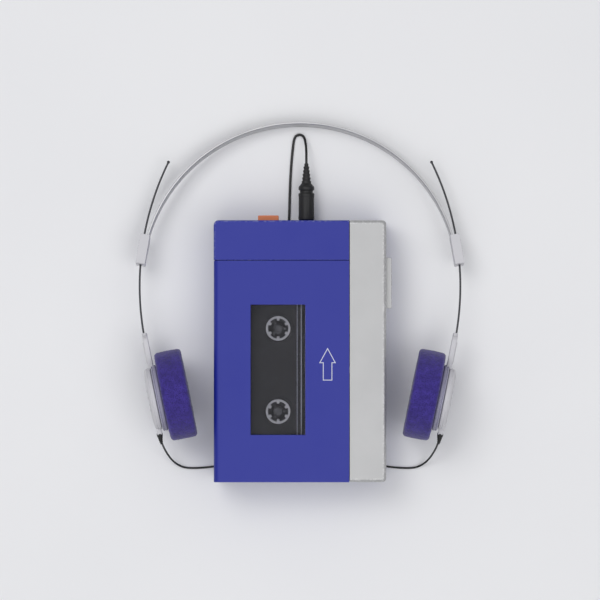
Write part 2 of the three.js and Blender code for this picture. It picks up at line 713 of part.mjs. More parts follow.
// The headset lies with both pads on edge and the top of its band on the surface.
function headsetGroup() {
  const flat = new THREE.Group();
  flat.position.y = -PAD.y;
  add(flat, "headband", headband(), BAND_METAL);
  for (const side of ["left", "right"]) {
    const half = new THREE.Group();
    half.scale.x = side === "left" ? 1 : -1;
    const put = (name, geometry, material) => add(half, `${name}_${side}`, geometry, material);
    put("band_sleeve", sleeve(), PALE);
    put("slide_rod", slideRod(), BLACK);
    put("ear_plate", earPlate(), CAP_PLASTIC);
    put("ear_cap", earCap(), CAP_PLASTIC);
    put("ear_pad", earPad(), FOAM);
    flat.add(half);
  }
  const headset = new THREE.Group();
  headset.position.set(0, PAD.y, PAD_HEIGHT);
  headset.rotation.x = -TIP;
  headset.add(flat);
  return headset;
}

function leadGroup() {
  const lead = new THREE.Group();
  add(lead, "plug", plug(), BLACK);
  add(lead, "main_cord", cord(LEAD_ROUTE, LEAD_RADIUS, LEAD_STEPS), RUBBER);
  add(lead, "cord_coil", coilDisc(), RUBBER);
  add(lead, "cord_split", cordSplit(), RUBBER);
  const mirrored = LEG_ROUTE.map(([x, y, z]) => [-x, y, z]);
  add(lead, "cord_left", cord(LEG_ROUTE, LEG_RADIUS, LEG_STEPS), RUBBER);
  add(lead, "cord_right", cord(mirrored, LEG_RADIUS, LEG_STEPS), RUBBER);
  return lead;
}

// The origin is at the bottom centre of the player and headset, the lead left out.
const group = new THREE.Group();
group.add(playerGroup(), headsetGroup());
group.updateMatrixWorld(true);
const extent = new THREE.Box3().setFromObject(group, true);
const centre = extent.getCenter(new THREE.Vector3());
group.add(leadGroup());
group.position.set(-centre.x, -centre.y, -extent.min.z);

export default group;
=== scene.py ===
import math

import bmesh
import bpy
from bpy.props import FloatProperty, FloatVectorProperty, PointerProperty
from mathutils import Matrix, Vector, noise
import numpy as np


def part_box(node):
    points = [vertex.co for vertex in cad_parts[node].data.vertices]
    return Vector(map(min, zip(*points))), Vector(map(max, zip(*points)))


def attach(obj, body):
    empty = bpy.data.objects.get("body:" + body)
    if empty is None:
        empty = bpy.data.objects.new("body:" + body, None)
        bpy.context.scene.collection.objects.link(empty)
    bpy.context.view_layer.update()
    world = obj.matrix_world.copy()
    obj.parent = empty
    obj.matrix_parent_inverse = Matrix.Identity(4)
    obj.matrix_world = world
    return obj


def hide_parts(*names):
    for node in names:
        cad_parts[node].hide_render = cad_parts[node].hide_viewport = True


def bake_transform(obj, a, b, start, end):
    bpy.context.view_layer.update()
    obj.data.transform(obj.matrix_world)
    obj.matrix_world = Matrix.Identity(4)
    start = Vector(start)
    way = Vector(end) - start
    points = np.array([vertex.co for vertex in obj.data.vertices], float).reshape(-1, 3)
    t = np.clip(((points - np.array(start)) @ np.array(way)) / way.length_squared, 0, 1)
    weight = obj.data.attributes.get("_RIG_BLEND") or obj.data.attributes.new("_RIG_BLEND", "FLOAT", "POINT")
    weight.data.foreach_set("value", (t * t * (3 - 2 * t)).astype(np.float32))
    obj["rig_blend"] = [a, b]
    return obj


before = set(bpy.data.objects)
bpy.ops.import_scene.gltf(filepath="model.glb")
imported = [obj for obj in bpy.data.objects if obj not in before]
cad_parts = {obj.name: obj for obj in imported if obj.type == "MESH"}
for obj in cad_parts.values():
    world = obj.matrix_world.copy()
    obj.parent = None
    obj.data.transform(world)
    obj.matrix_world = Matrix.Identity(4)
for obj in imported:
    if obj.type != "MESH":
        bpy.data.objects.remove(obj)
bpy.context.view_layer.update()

bl_info = {
    "name": "Pocket cassette player",
    "version": (1, 0, 0),
    "blender": (4, 5, 0),
    "location": "3D View > Sidebar > Player",
    "description": "Finished pieces for a pocket cassette player and its headphones",
    "category": "Object",
}

MM = 0.001
# Face attribute that marks rounded edges, where a finish gets a lighter edge tone: partly rubbed wear,
# partly painted highlight.
EDGE_WEAR_AND_HIGHLIGHT = "rubbed"

# The casing's back shell gives the player's own frame: its middle in x and y, the surface in z.
CASE_LOW, CASE_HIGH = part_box("back_cover")
CASE_MIDDLE = (CASE_LOW + CASE_HIGH) / 2
HALF_WIDTH = (CASE_HIGH.x - CASE_LOW.x) / 2 / MM
HALF_HEIGHT = (CASE_HIGH.y - CASE_LOW.y) / 2 / MM
FRONT_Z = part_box("cassette_door")[1].z / MM
BACK_Z = CASE_LOW.z / MM


def at(x, y, z=0.0):
    """A point in the player's frame, in millimetres, as a point in the row frame."""
    return Vector((CASE_MIDDLE.x + x * MM, CASE_MIDDLE.y + y * MM, z * MM))


# The headphones lie in a flat frame of their own, tipped about x where the pads stand.
PAD = {"x": -63.6, "y": -22.3, "radius": 23.0, "depth": 13.8, "lean": math.radians(11.6)}
PAD_HEIGHT = 23.5
BAND = {"y": 37.0, "radius": 81.2, "thickness": 1.2, "width": 9.0, "end": math.radians(9.4)}
BAND_HEIGHT = 4.9
ROD = {"x": 64.9, "y": 34.7, "radius": 147.3, "thick": 0.5, "low": -10.5, "high": 25.6}
SLEEVE = {"x": -80.75, "y": 52.4, "size": (4.8, 15.3, 11.0), "lean": math.radians(9.7)}
TIP = math.asin((PAD_HEIGHT - BAND_HEIGHT) / (BAND["y"] + BAND["radius"] - PAD["y"]))
HEADSET = (
    Matrix.Translation(at(0, PAD["y"], PAD_HEIGHT))
    @ Matrix.Rotation(-TIP, 4, "X")
    @ Matrix.Scale(MM, 4)
    @ Matrix.Translation((0, -PAD["y"], 0))
)
MIRROR = Matrix.Diagonal((-1, 1, 1, 1))
EAR = (
    Matrix.Translation((PAD["x"], PAD["y"], 0))
    @ Matrix.Rotation(math.pi + PAD["lean"], 4, "Z")
    @ Matrix.Rotation(math.pi / 2, 4, "Y")
)

# The lead and its legs: radii in mm, lengths in metres, and the routes that aren't coiled.
LEAD_RADIUS = 0.65
LEG_RADIUS = 0.5
JACK = {"x": 3.3, "spare_x": 17.0, "z": 8.5}
PLUG_START = HALF_HEIGHT + 0.3
BOOT_END = PLUG_START + 29
COIL = {"x": 0.0, "y": 20.0, "outer": 19.6, "inner": 5.4, "pitch": 1.42}
SPLIT_Z = 0.95
LEAD_ROUTE = [
    (JACK["x"], BOOT_END + 0.3, JACK["z"]), (3.3, 99.4, 8.2), (3.25, 102.6, 7.0), (3.1, 105.6, 5.0),
    (2.75, 107.9, 3.3), (2.31, 109.79, 2.1), (1.45, 111.13, 1.35), (-0.25, 111.75, 0.9),
    (-1.95, 111.13, 0.72), (-2.81, 109.79, 0.68), (-3.35, 107.6, 0.68), (-3.9, 103, 0.68),
    (-4.4, 97.6, 0.68), (-4.9, 90, 0.68), (-5.3, 80.8, 0.68), (-5.6, 70, 0.68),
    (-6.4, 60, 0.68), (-7.4, 52, 0.68), (-7.2, 46, 0.68), (-5, 42.2, 0.68),
    (-1.6, 40.9, 0.68),
]
LEG_ROUTE = [
    (-71.5, -43.4, 26.0), (-71.1, -45.7, 23.2), (-70.3, -48.7, 18), (-69, -52, 12),
    (-66.8, -55.8, 6.2), (-63.8, -58.8, 2.4), (-59.6, -60.7, 0.8), (-53.2, -61, 0.53),
    (-43.8, -60, 0.53), (-36.5, -57.4, 0.53), (-30.5, -52, 0.53), (-26.5, -44.5, 0.53),
    (-23, -36, 0.53), (-18.5, -28.6, 0.53), (-12.5, -23.6, 0.53), (-6.8, -21.4, 0.53),
    (-3.2, -20.4, 0.53), (-1.6, -18.9, 0.53), (-1.4, -17.35, 0.53),
]


def srgb(red, green, blue):
    """A colour given as eight-bit values, as linear red, green and blue."""
    def linear(value):
        share = value / 255
        return share / 12.92 if share <= 0.04045 else ((share + 0.055) / 1.055) ** 2.4
    return tuple(linear(value) for value in (red, green, blue))


# ---- settings a user may change ----------------------------------------------------------
def colour_setting(name, description, value):
    return FloatVectorProperty(
        name=name, description=description, default=value, size=3, min=0, max=1, subtype="COLOR"
    )


class PlayerColours(bpy.types.PropertyGroup):
    paint: colour_setting("Paint", "Colour of the door and casing", srgb(26, 38, 146))
    metal: colour_setting("Bare metal", "Colour of the side panel and keys", srgb(183, 183, 183))
    cassette: colour_setting("Cassette", "Colour of the cassette shell", srgb(27, 27, 28))
    button: colour_setting("Button", "Colour of the button on the top edge", srgb(213, 121, 74))
    foam: colour_setting("Foam", "Colour of the ear pads", srgb(62, 50, 132))
    moulding: colour_setting("Moulding", "Colour of the ear caps and sleeves", srgb(202, 201, 205))
    rubber: colour_setting("Rubber", "Colour of the lead, plug and feet", srgb(24, 24, 25))


def length_setting(name, description, value):
    return FloatProperty(
        name=name, description=description, default=value * MM, min=0, unit="LENGTH", precision=5
    )


class PlayerSizes(bpy.types.PropertyGroup):
    fine_edge: length_setting("Fine edge", "Rounding of small edges", 0.16)
    case_edge: length_setting("Case edge", "Rounding of the casing's outer edges", 0.9)
    foam_rise: length_setting("Foam rise", "Height of the foam's uneven skin", 0.16)
    print_width: length_setting("Print width", "Width of the printed arrow's line", 0.4)


def colours():
    return bpy.context.scene.player_colours


def sizes():
    return bpy.context.scene.player_sizes


# ---- shader node groups --------------------------------------------------------------------
FLOAT, COLOUR, VECTOR = (f"NodeSocket{kind}" for kind in ("Float", "Color", "Vector"))
MULTIPLY = {"operation": "MULTIPLY"}
BLEND = {"data_type": "RGBA"}


def set_inputs(target, **inputs):
    """Sets a node's sockets by name, with _ for a space."""
    for label, value in inputs.items():
        target.inputs[label.replace("_", " ")].default_value = value


def node(tree, kind, settings=(), **inputs):
    """Adds a shader node: settings are its own properties, inputs the values of its sockets."""
    made = tree.nodes.new(f"ShaderNode{kind}")
    for name, value in dict(settings).items():
        setattr(made, name, value)
    set_inputs(made, **inputs)
    return made


def wire(tree, *joins):
    """Joins sockets, each given as a node and its output, then a node and its input."""
    for source, output, target, entry in joins:
        tree.links.new(source.outputs[output], target.inputs[entry])


def start_group(name, inputs, outputs):
    """A new shader node group with named sockets; returns it with its input and output nodes."""
    group = bpy.data.node_groups.new(name, "ShaderNodeTree")
    for label, kind, value in inputs:
        socket = group.interface.new_socket(name=label, in_out="INPUT", socket_type=kind)
        socket.default_value = value
    for label, kind in outputs:
        group.interface.new_socket(name=label, in_out="OUTPUT", socket_type=kind)
    return group, group.nodes.new("NodeGroupInput"), group.nodes.new("NodeGroupOutput")


def mottle_group():
    """Two colours mixed by soft cloudy noise."""
    group, entry, leave = start_group(
        "Mottle",
        [("Main", COLOUR, (0.5, 0.5, 0.5, 1)), ("Second", COLOUR, (0.4, 0.4, 0.4, 1)),
         ("Scale", FLOAT, 60), ("Contrast", FLOAT, 0.5)],
        [("Color", COLOUR), ("Mask", FLOAT)],
    )
    place = node(group, "TexCoord")
    cloud = node(group, "TexNoise", Detail=6)
    shape = node(group, "MapRange", From_Min=0.3, From_Max=0.7)
    strength = node(group, "Math", MULTIPLY)
    mix = node(group, "Mix", BLEND)
    wire(
        group,
        (place, "Object", cloud, "Vector"), (entry, "Scale", cloud, "Scale"),
        (cloud, "Fac", shape, "Value"), (shape, "Result", strength, 0),
        (entry, "Contrast", strength, 1), (strength, 0, mix, "Factor"),
        (entry, "Main", mix, "A"), (entry, "Second", mix, "B"),
        (mix, "Result", leave, "Color"), (strength, 0, leave, "Mask"),
    )
    return group


def grain_group():
    """Fine noise, stretched to make brushing or left even to make moulded grain."""
    group, entry, leave = start_group(
        "Grain",
        [("Scale", FLOAT, 1500), ("Stretch", VECTOR, (1, 1, 1)), ("Roughness", FLOAT, 0.5)],
        [("Height", FLOAT)],
    )
    place = node(group, "TexCoord")
    stretch = node(group, "VectorMath", MULTIPLY)
    fine = node(group, "TexNoise", Detail=4)
    wire(
        group,
        (place, "Object", stretch, 0), (entry, "Stretch", stretch, 1),
        (stretch, 0, fine, "Vector"), (entry, "Scale", fine, "Scale"),
        (entry, "Roughness", fine, "Roughness"), (fine, "Fac", leave, "Height"),
    )
    return group


def smudge_group():
    """A roughness that drifts between two values where hands have touched the surface."""
    group, entry, leave = start_group(
        "Smudges",
        [("Scale", FLOAT, 45), ("Clean", FLOAT, 0.35), ("Handled", FLOAT, 0.5)],
        [("Value", FLOAT)],
    )
    place = node(group, "TexCoord")
    cloud = node(group, "TexNoise", Detail=8, Roughness=0.62)
    spread = node(group, "MapRange", From_Min=0.35, From_Max=0.68)
    wire(
        group,
        (place, "Object", cloud, "Vector"), (entry, "Scale", cloud, "Scale"),
        (cloud, "Fac", spread, "Value"), (entry, "Clean", spread, "To Min"),
        (entry, "Handled", spread, "To Max"), (spread, "Result", leave, "Value"),
    )
    return group


def wear_and_highlight_group():
    """A mask of the rounded edges' own faces, broken up by noise: where a finish gets its lighter edge tone,
    partly rubbed wear and partly painted highlight.
    """
    group, entry, leave = start_group(
        "Edge Wear", [("Amount", FLOAT, 0.5), ("Scale", FLOAT, 900)], [("Mask", FLOAT)]
    )
    edges = node(group, "Attribute", {"attribute_name": EDGE_WEAR_AND_HIGHLIGHT})
    place = node(group, "TexCoord")
    edge_patches = node(group, "TexNoise", Detail=5)
    broken = node(group, "MapRange", From_Min=0.45, From_Max=0.62)
    both = node(group, "Math", MULTIPLY)
    share = node(group, "Math", MULTIPLY)
    wire(
        group,
        (place, "Object", edge_patches, "Vector"), (entry, "Scale", edge_patches, "Scale"),
        (edge_patches, "Fac", broken, "Value"), (edges, "Fac", both, 0), (broken, "Result", both, 1),
        (both, 0, share, 0), (entry, "Amount", share, 1), (share, 0, leave, "Mask"),
    )
    return group


GROUP_MAKERS = {
    "Mottle": mottle_group,
    "Grain": grain_group,
    "Smudges": smudge_group,
    "Edge Wear": wear_and_highlight_group,
}


def place_group(tree, name, **values):
    """Puts a shared node group in a material's tree and sets its inputs."""
    shared = bpy.data.node_groups.get(name) or GROUP_MAKERS[name]()
    return node(tree, "Group", {"node_tree": shared}, **values)


# ---- materials -----------------------------------------------------------------------------
def start_material(name):
    """A material holding one Principled shader; returns it with its tree and shader."""
    material = bpy.data.materials.new(name)
    material.use_nodes = True
    return material, material.node_tree, material.node_tree.nodes["Principled BSDF"]


def bump(tree, source, output, shader, strength, distance):
    """Feeds a height through a Bump node into the shader's normal."""
    bumps = node(tree, "Bump", Strength=strength, Distance=distance * MM)
    wire(tree, (source, output, bumps, "Height"), (bumps, "Normal", shader, "Normal"))


def shade(colour, factor):
    return tuple(min(1.0, value * factor) for value in colour)


def solid(colour):
    return (*colour[:3], 1.0)


def tone(given, base=None):
    """A colour from a setting's name, from eight-bit values, or from a factor on a base colour."""
    if isinstance(given, str):
        return getattr(colours(), given)
    return srgb(*given) if isinstance(given, tuple) else shade(base, given)


def finish_material(
    name, main, second, level=1.0, metal=0.0, rough=(0.3, 0.45), coat=0.0, cloud=40,
    contrast=0.6, grain=1500, stretch=(1, 1, 1), relief=0.25, depth=0.02, wear=None,
    wear_amount=0.5,
):
    """A finish in two close colours, with smudged gloss, fine grain and, if asked, a lighter tone on the
    rounded edges: partly rubbed wear, partly painted highlight.
    """
    main = shade(tone(main), level)
    material, tree, shader = start_material(name)
    smudges = place_group(tree, "Smudges", Clean=rough[0], Handled=rough[1])
    fine = place_group(tree, "Grain", Scale=grain, Stretch=stretch)
    colour = place_group(
        tree, "Mottle", Main=solid(main), Second=solid(tone(second, main)), Scale=cloud,
        Contrast=contrast,
    )
    output = "Color"
    # A lighter tone painted on the rounded edges: partly rubbed wear, partly painted highlight.
    if wear:
        edges = place_group(tree, "Edge Wear", Amount=wear_amount)
        wear_and_highlight_mix = node(tree, "Mix", BLEND, B=solid(tone(wear, main)))
        wire(tree, (edges, "Mask", wear_and_highlight_mix, "Factor"), (colour, output, wear_and_highlight_mix, "A"))
        colour, output = wear_and_highlight_mix, "Result"
    wire(tree, (colour, output, shader, "Base Color"), (smudges, "Value", shader, "Roughness"))
    set_inputs(shader, Metallic=metal, Coat_Weight=coat, Coat_Roughness=0.18)
    bump(tree, fine, "Height", shader, relief, depth)
    return material


# Each finish: the material's name, its main and second tones, and what differs from the usual.
FINISHES = {
    # The lighter edge tones below are painted on the rounded edges: partly rubbed wear, partly painted
    # highlight. The blue's light blue edge is painted highlight for the light caught by its rolled edges.
    "blue": ("blue_lacquer", "paint", 0.95, dict(
        metal=0.1, rough=(0.42, 0.52), coat=0.04, cloud=28, contrast=0.5, grain=5200,
        relief=0.12, depth=0.01, wear=(118, 124, 176), wear_amount=0.55)),
    # The near-white edge tones of the bare metal and the keys are a painted highlight along their rounded
    # edges, with some rubbed wear.
    "silver": ("brushed_aluminium", "metal", 0.93, dict(
        metal=0.55, rough=(0.42, 0.52), cloud=70, grain=2600, stretch=(9, 0.35, 9),
        relief=0.2, depth=0.014, wear=(226, 226, 226), wear_amount=0.4)),
    "key": ("key_aluminium", "metal", 0.92, dict(
        level=0.95, metal=0.6, rough=(0.34, 0.44), grain=2800, stretch=(8, 0.5, 8),
        relief=0.2, depth=0.014, wear=(220, 220, 222))),
    "steel": ("bright_steel", (168, 168, 170), (150, 150, 153), dict(
        metal=0.95, rough=(0.2, 0.34), cloud=120, grain=3200, relief=0.1, depth=0.008)),
    "deck": ("deck_steel", (128, 129, 133), (112, 113, 117), dict(
        metal=0.6, rough=(0.42, 0.52), cloud=60, contrast=0.5, grain=3200, relief=0.12,
        depth=0.008, wear=(176, 176, 178))),
    "bright": ("polished_head", (206, 206, 208), (192, 192, 195), dict(
        metal=0.95, rough=(0.12, 0.2), cloud=200, grain=3600, relief=0.06, depth=0.005)),
    "brass": ("brass", (190, 150, 84), (158, 120, 62), dict(
        metal=0.95, rough=(0.25, 0.4), cloud=150, grain=2600, relief=0.12, depth=0.01)),
    "black": ("black_moulding", (30, 30, 32), (23, 23, 25), dict(
        rough=(0.42, 0.55), grain=3400, relief=0.35, depth=0.025, wear=(62, 62, 65),
        wear_amount=0.35)),
    "rubber": ("soft_rubber", "rubber", 0.8, dict(
        rough=(0.5, 0.64), cloud=90, grain=2400, relief=0.3, wear=1.7, wear_amount=0.3)),
    "sheath": ("lead_sheath", "rubber", 0.75, dict(
        level=0.72, rough=(0.36, 0.5), cloud=300, grain=4200, relief=0.2, depth=0.01)),
    "cassette": ("cassette_shell", "cassette", 0.86, dict(
        rough=(0.4, 0.52), cloud=110, grain=2600, relief=0.3, wear=1.5, wear_amount=0.3)),
    "orange": ("orange_moulding", "button", 0.88, dict(
        rough=(0.36, 0.5), cloud=220, grain=3000, wear=1.3, wear_amount=0.35)),
    "cap": ("cap_moulding", "moulding", 0.94, dict(
        rough=(0.38, 0.5), cloud=90, grain=2600, relief=0.22, depth=0.018, wear=1.15,
        wear_amount=0.3)),
    "plate": ("plate_moulding", (160, 158, 178), 0.92, dict(
        rough=(0.42, 0.54), cloud=90, grain=2600, relief=0.24, wear=1.2, wear_amount=0.3)),
    "band": ("spring_steel", (188, 188, 189), (174, 174, 176), dict(
        metal=0.7, rough=(0.34, 0.46), cloud=60, grain=2400, stretch=(1, 1, 12),
        relief=0.15, depth=0.01)),
    "rod": ("dark_steel", (74, 74, 78), (60, 60, 64), dict(
        metal=0.8, rough=(0.3, 0.42), cloud=80, grain=2600, relief=0.12, depth=0.01,
        wear=(120, 120, 124))),
    "hub": ("hub_plastic", (228, 228, 228), 0.93, dict(
        rough=(0.36, 0.48), cloud=200, grain=2800, relief=0.2, depth=0.015)),
    "spindle": ("spindle_plastic", (104, 104, 105), 0.88, dict(
        rough=(0.34, 0.46), cloud=200, grain=2800, relief=0.2, depth=0.015, wear=1.4,
        wear_amount=0.4)),
    "tape": ("wound_tape", (58, 40, 32), (42, 29, 24), dict(
        rough=(0.24, 0.36), cloud=400, grain=5200, stretch=(1, 1, 9), relief=0.3,
        depth=0.015)),
    "print": ("white_print", (212, 214, 226), (190, 193, 212), dict(
        rough=(0.42, 0.52), cloud=500, contrast=0.7, grain=3000, relief=0.1, depth=0.006)),
    "label": ("label_paper", (33, 33, 34), 0.9, dict(
        rough=(0.6, 0.72), cloud=220, grain=3600, relief=0.15, depth=0.01)),
    "cell": ("cell_wrap", (48, 50, 58), 0.85, dict(
        rough=(0.22, 0.34), coat=0.3, cloud=90, grain=1200, relief=0.08,
        wear=(120, 120, 124))),
}


def circuit_board_green():
    """Solder mask over a net of copper tracks."""
    material, tree, shader = start_material("circuit_green")
    place = node(tree, "TexCoord")
    cells = node(tree, "TexVoronoi", {"feature": "DISTANCE_TO_EDGE"}, Scale=420)
    tracks = node(tree, "MapRange", From_Max=0.05)
    mix = node(tree, "Mix", BLEND, A=solid(srgb(74, 116, 62)), B=solid(srgb(36, 72, 40)))
    smudges = place_group(tree, "Smudges", Clean=0.3, Handled=0.42)
    wire(
        tree,
        (place, "Object", cells, "Vector"), (cells, "Distance", tracks, "Value"),
        (tracks, "Result", mix, "Factor"), (mix, "Result", shader, "Base Color"),
        (smudges, "Value", shader, "Roughness"),
    )
    bump(tree, tracks, "Result", shader, 0.3, 0.05)
    return material


def smoked_window():
    """Dark see-through plastic over the cassette."""
    material, tree, shader = start_material("smoked_window")
    tint = place_group(
        tree, "Mottle", Main=solid(srgb(204, 204, 209)), Second=solid(srgb(214, 214, 219)),
        Scale=60, Contrast=0.5,
    )
    smudges = place_group(tree, "Smudges", Clean=0.05, Handled=0.12)
    fine = place_group(tree, "Grain", Scale=900)
    wire(tree, (tint, "Color", shader, "Base Color"), (smudges, "Value", shader, "Roughness"))
    set_inputs(shader, Metallic=0, Transmission_Weight=0.975, IOR=1.1)
    bump(tree, fine, "Height", shader, 0.05, 0.01)
    return material


def pad_foam():
    """Open-cell foam: pores painted darker as painted shade, two violet-blue tones and a soft matt sheen."""
    material, tree, shader = start_material("pad_foam")
    foam = colours().foam
    mottle = place_group(
        tree, "Mottle", Main=solid(shade(foam, 1.2)), Second=solid(shade(foam, 0.7)),
        Scale=330, Contrast=0.9,
    )
    place = node(tree, "TexCoord")
    pores = node(tree, "TexVoronoi", Scale=1500)
    holes = node(tree, "MapRange", From_Min=0.12, From_Max=0.5)
    # Painted shade: the pores get a darker tone of the foam's own colour.
    dark = node(tree, "Mix", BLEND, A=solid(shade(foam, 0.42)))
    set_inputs(
        shader, Roughness=0.95, Specular_IOR_Level=0.2, Sheen_Weight=0.25, Sheen_Roughness=0.5
    )
    wire(
        tree,
        (place, "Object", pores, "Vector"), (pores, "Distance", holes, "Value"),
        (holes, "Result", dark, "Factor"), (mottle, "Color", dark, "B"),
        (dark, "Result", shader, "Base Color"),
    )
    bump(tree, holes, "Result", shader, 0.8, 0.12)
    return material


OTHER_FINISHES = {"board": circuit_board_green, "glass": smoked_window, "foam": pad_foam}
MADE = {}


def material(key):
    """The finish of that name, made once."""
    if key not in MADE:
        if key in OTHER_FINISHES:
            MADE[key] = OTHER_FINISHES[key]()
        else:
            name, main, second, traits = FINISHES[key]
            MADE[key] = finish_material(name, main, second, **traits)
    return MADE[key]


# ---- mesh tools ----------------------------------------------------------------------------
PLAYER = Matrix.Translation(at(0, 0, 0)) @ Matrix.Scale(MM, 4)
ALONG_Y = Matrix.Rotation(-math.pi / 2, 4, "X")


def at_z(x, y, z=0.0, turn=0.0):
    """Moves to a place, and turns about z."""
    return Matrix.Translation((x, y, z)) @ Matrix.Rotation(turn, 4, "Z")


def add_object(name, data):
    """Puts a new object that holds the data in the scene."""
    made = bpy.data.objects.new(name, data)
    bpy.context.scene.collection.objects.link(made)
    return made


def show(name, shape, key, body, slot, place=PLAYER, replaces=(), angle=38):
    """Turns a bmesh in millimetres into a finished piece that rides on a body."""
    bmesh.ops.transform(shape, matrix=place, verts=shape.verts)
    if place.determinant() < 0:
        bmesh.ops.reverse_faces(shape, faces=shape.faces)
    mesh = bpy.data.meshes.new(name)
    shape.to_mesh(mesh)
    shape.free()
    mesh.polygons.foreach_set("use_smooth", [True] * len(mesh.polygons))
    mesh.set_sharp_from_angle(angle=math.radians(angle))
    piece = add_object(name, mesh)
    mesh.materials.append(material(key))
    piece.modifiers.new("Even shading", "WEIGHTED_NORMAL").keep_sharp = True
    if body:
        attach(piece, body)
    if replaces:
        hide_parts(*replaces)
    return piece


def wear_and_highlight_layer(shape):
    """The face layer that marks rounded edges, where a finish takes its lighter edge tone: partly rubbed
    wear, partly painted highlight.
    """
    floats = shape.faces.layers.float
    return floats.get(EDGE_WEAR_AND_HIGHLIGHT) or floats.new(EDGE_WEAR_AND_HIGHLIGHT)


def round_edges(shape, edges, width, segments=3):
    """Rounds the given edges of a bmesh by a width in millimetres."""
    if not edges:
        return
    layer = wear_and_highlight_layer(shape)
    made = bmesh.ops.bevel(
        shape, geom=list(edges), offset=width, offset_type="OFFSET", segments=segments,
        profile=0.5, affect="EDGES", clamp_overlap=True,
    )
    # Marks the new faces for the lighter edge tone: partly rubbed wear, partly painted highlight.
    for face in made["faces"]:
        face[layer] = 1.0


def sharp_edges(shape, degrees=50):
    """The edges that turn more than an angle."""
    limit = math.radians(degrees)
    return [
        edge for edge in shape.edges
        if len(edge.link_faces) == 2 and edge.calc_face_angle() > limit
    ]


def block(shape, xs, ys, zs, width=0.0, segments=2):
    """Adds a block with rounded edges to a bmesh."""
    part = bmesh.new()
    bmesh.ops.create_cube(part, size=1)
    size = Matrix.Diagonal((xs[1] - xs[0], ys[1] - ys[0], zs[1] - zs[0], 1))
    middle = Matrix.Translation(((xs[0] + xs[1]) / 2, (ys[0] + ys[1]) / 2, (zs[0] + zs[1]) / 2))
    bmesh.ops.transform(part, matrix=middle @ size, verts=part.verts)
    if width:
        round_edges(part, sharp_edges(part, 30), width, segments)
    add_part(shape, part)


def add_part(shape, part, turn=None):
    """Copies one bmesh into another, turned first if asked, and frees the copy."""
    if turn is not None:
        bmesh.ops.transform(part, matrix=turn, verts=part.verts)
    wear_and_highlight_layer(shape)
    wear_and_highlight_layer(part)
    mesh = bpy.data.meshes.new("scratch")
    part.to_mesh(mesh)
    part.free()
    shape.from_mesh(mesh)
    bpy.data.meshes.remove(mesh)


def fillet(points, radius, steps=3, closed=False):
    """A polyline with its corners rounded; points are pairs, in millimetres."""
    count = len(points)
    rounded = []
    for index, point in enumerate(points):
        corner = Vector(point)
        if not closed and index in (0, count - 1):
            rounded.append(corner)
            continue
        before = Vector(points[index - 1]) - corner
        after = Vector(points[(index + 1) % count]) - corner
        reach = min(radius, before.length * 0.45, after.length * 0.45)
        if reach < 1e-6:
            continue
        start = corner + before.normalized() * reach
        stop = corner + after.normalized() * reach
        for step in range(steps + 1):
            share = step / steps
            first = start.lerp(corner, share)
            second = corner.lerp(stop, share)
            rounded.append(first.lerp(second, share))
    return rounded


def join_rings(part, rings):
    """Joins rings of vertices into a skin; a ring of one vertex is a point on the axis."""
    for low, high in zip(rings, rings[1:]):
        count = max(len(low), len(high))
        if count == 1:
            continue
        for step in range(count):
            after = (step + 1) % count
            if len(low) == 1:
                part.faces.new((low[0], high[after], high[step]))
            elif len(high) == 1:
                part.faces.new((low[step], low[after], high[0]))
            else:
                part.faces.new((low[step], low[after], high[after], high[step]))
    if rings[-1] is not rings[0]:
        for ring in (list(reversed(rings[0])), rings[-1]):
            if len(ring) > 1:
                part.faces.new(ring)
    bmesh.ops.recalc_face_normals(part, faces=part.faces)


def lathe(shape, profile, steps=48, radius=0.0, turn=None, wobble=None):
    """Adds a body of revolution about z; profile pairs are radius and height, from low to high."""
    part = bmesh.new()
    points = fillet(profile, radius) if radius else [Vector(pair) for pair in profile]
    rings = []
    for point in points:
        if point.x < 1e-5:
            rings.append([part.verts.new((0, 0, point.y))])
            continue
        ring = []
        for step in range(steps):
            angle = 2 * math.pi * step / steps
            away = point.x * (wobble(angle, point.y) if wobble else 1)
            ring.append(part.verts.new((away * math.cos(angle), away * math.sin(angle), point.y)))
        rings.append(ring)
    if len(rings[0]) > 1 and (points[0] - points[-1]).length < 1e-6:
        rings.pop()
        rings.append(rings[0])
    join_rings(part, rings)
    add_part(shape, part, turn)


def slab(shape, outline, zs, width=0.0, segments=2, turn=None):
    """Adds an outline, given as pairs, thickened along z, with its rims rounded."""
    part = bmesh.new()
    join_rings(part, [[part.verts.new((x, y, z)) for x, y in outline] for z in zs])
    if width:
        round_edges(part, sharp_edges(part), width, segments)
    add_part(shape, part, turn)


def sweep(shape, points, section, side=Vector((0, 0, 1))):
    """Carries a flat section (pairs) along a path; side is the direction its second axis keeps."""
    part = bmesh.new()
    rings = []
    for index, point in enumerate(points):
        before = points[max(index - 1, 0)]
        after = points[min(index + 1, len(points) - 1)]
        along = (after - before).normalized()
        across = along.cross(side).normalized()
        up = across.cross(along).normalized()
        rings.append([part.verts.new(point + across * a + up * b) for a, b in section])
    join_rings(part, rings)
    add_part(shape, part)


def circle(radius, sides=12):
    turns = [2 * math.pi * index / sides for index in range(sides)]
    return [(radius * math.cos(turn), radius * math.sin(turn)) for turn in turns]


def smooth_path(points, steps=6):
    """A smooth curve through the given points."""
    path = [Vector(point) for point in points]
    ends = [path[0] * 2 - path[1], *path, path[-1] * 2 - path[-2]]
    made = []
    for index in range(len(path) - 1):
        a, b, c, d = ends[index:index + 4]
        for step in range(steps):
            t = step / steps
            made.append(0.5 * (
                2 * b + (c - a) * t + (2 * a - 5 * b + 4 * c - d) * t ** 2
                + (3 * b - a - 3 * c + d) * t ** 3
            ))
    made.append(path[-1])
    return made


def arc(x, y, radius, start, stop, steps):
    """Points along an arc about a centre, in the flat frame."""
    turns = [start + (stop - start) * step / steps for step in range(steps + 1)]
    return [Vector((x + radius * math.cos(turn), y + radius * math.sin(turn), 0)) for turn in turns]


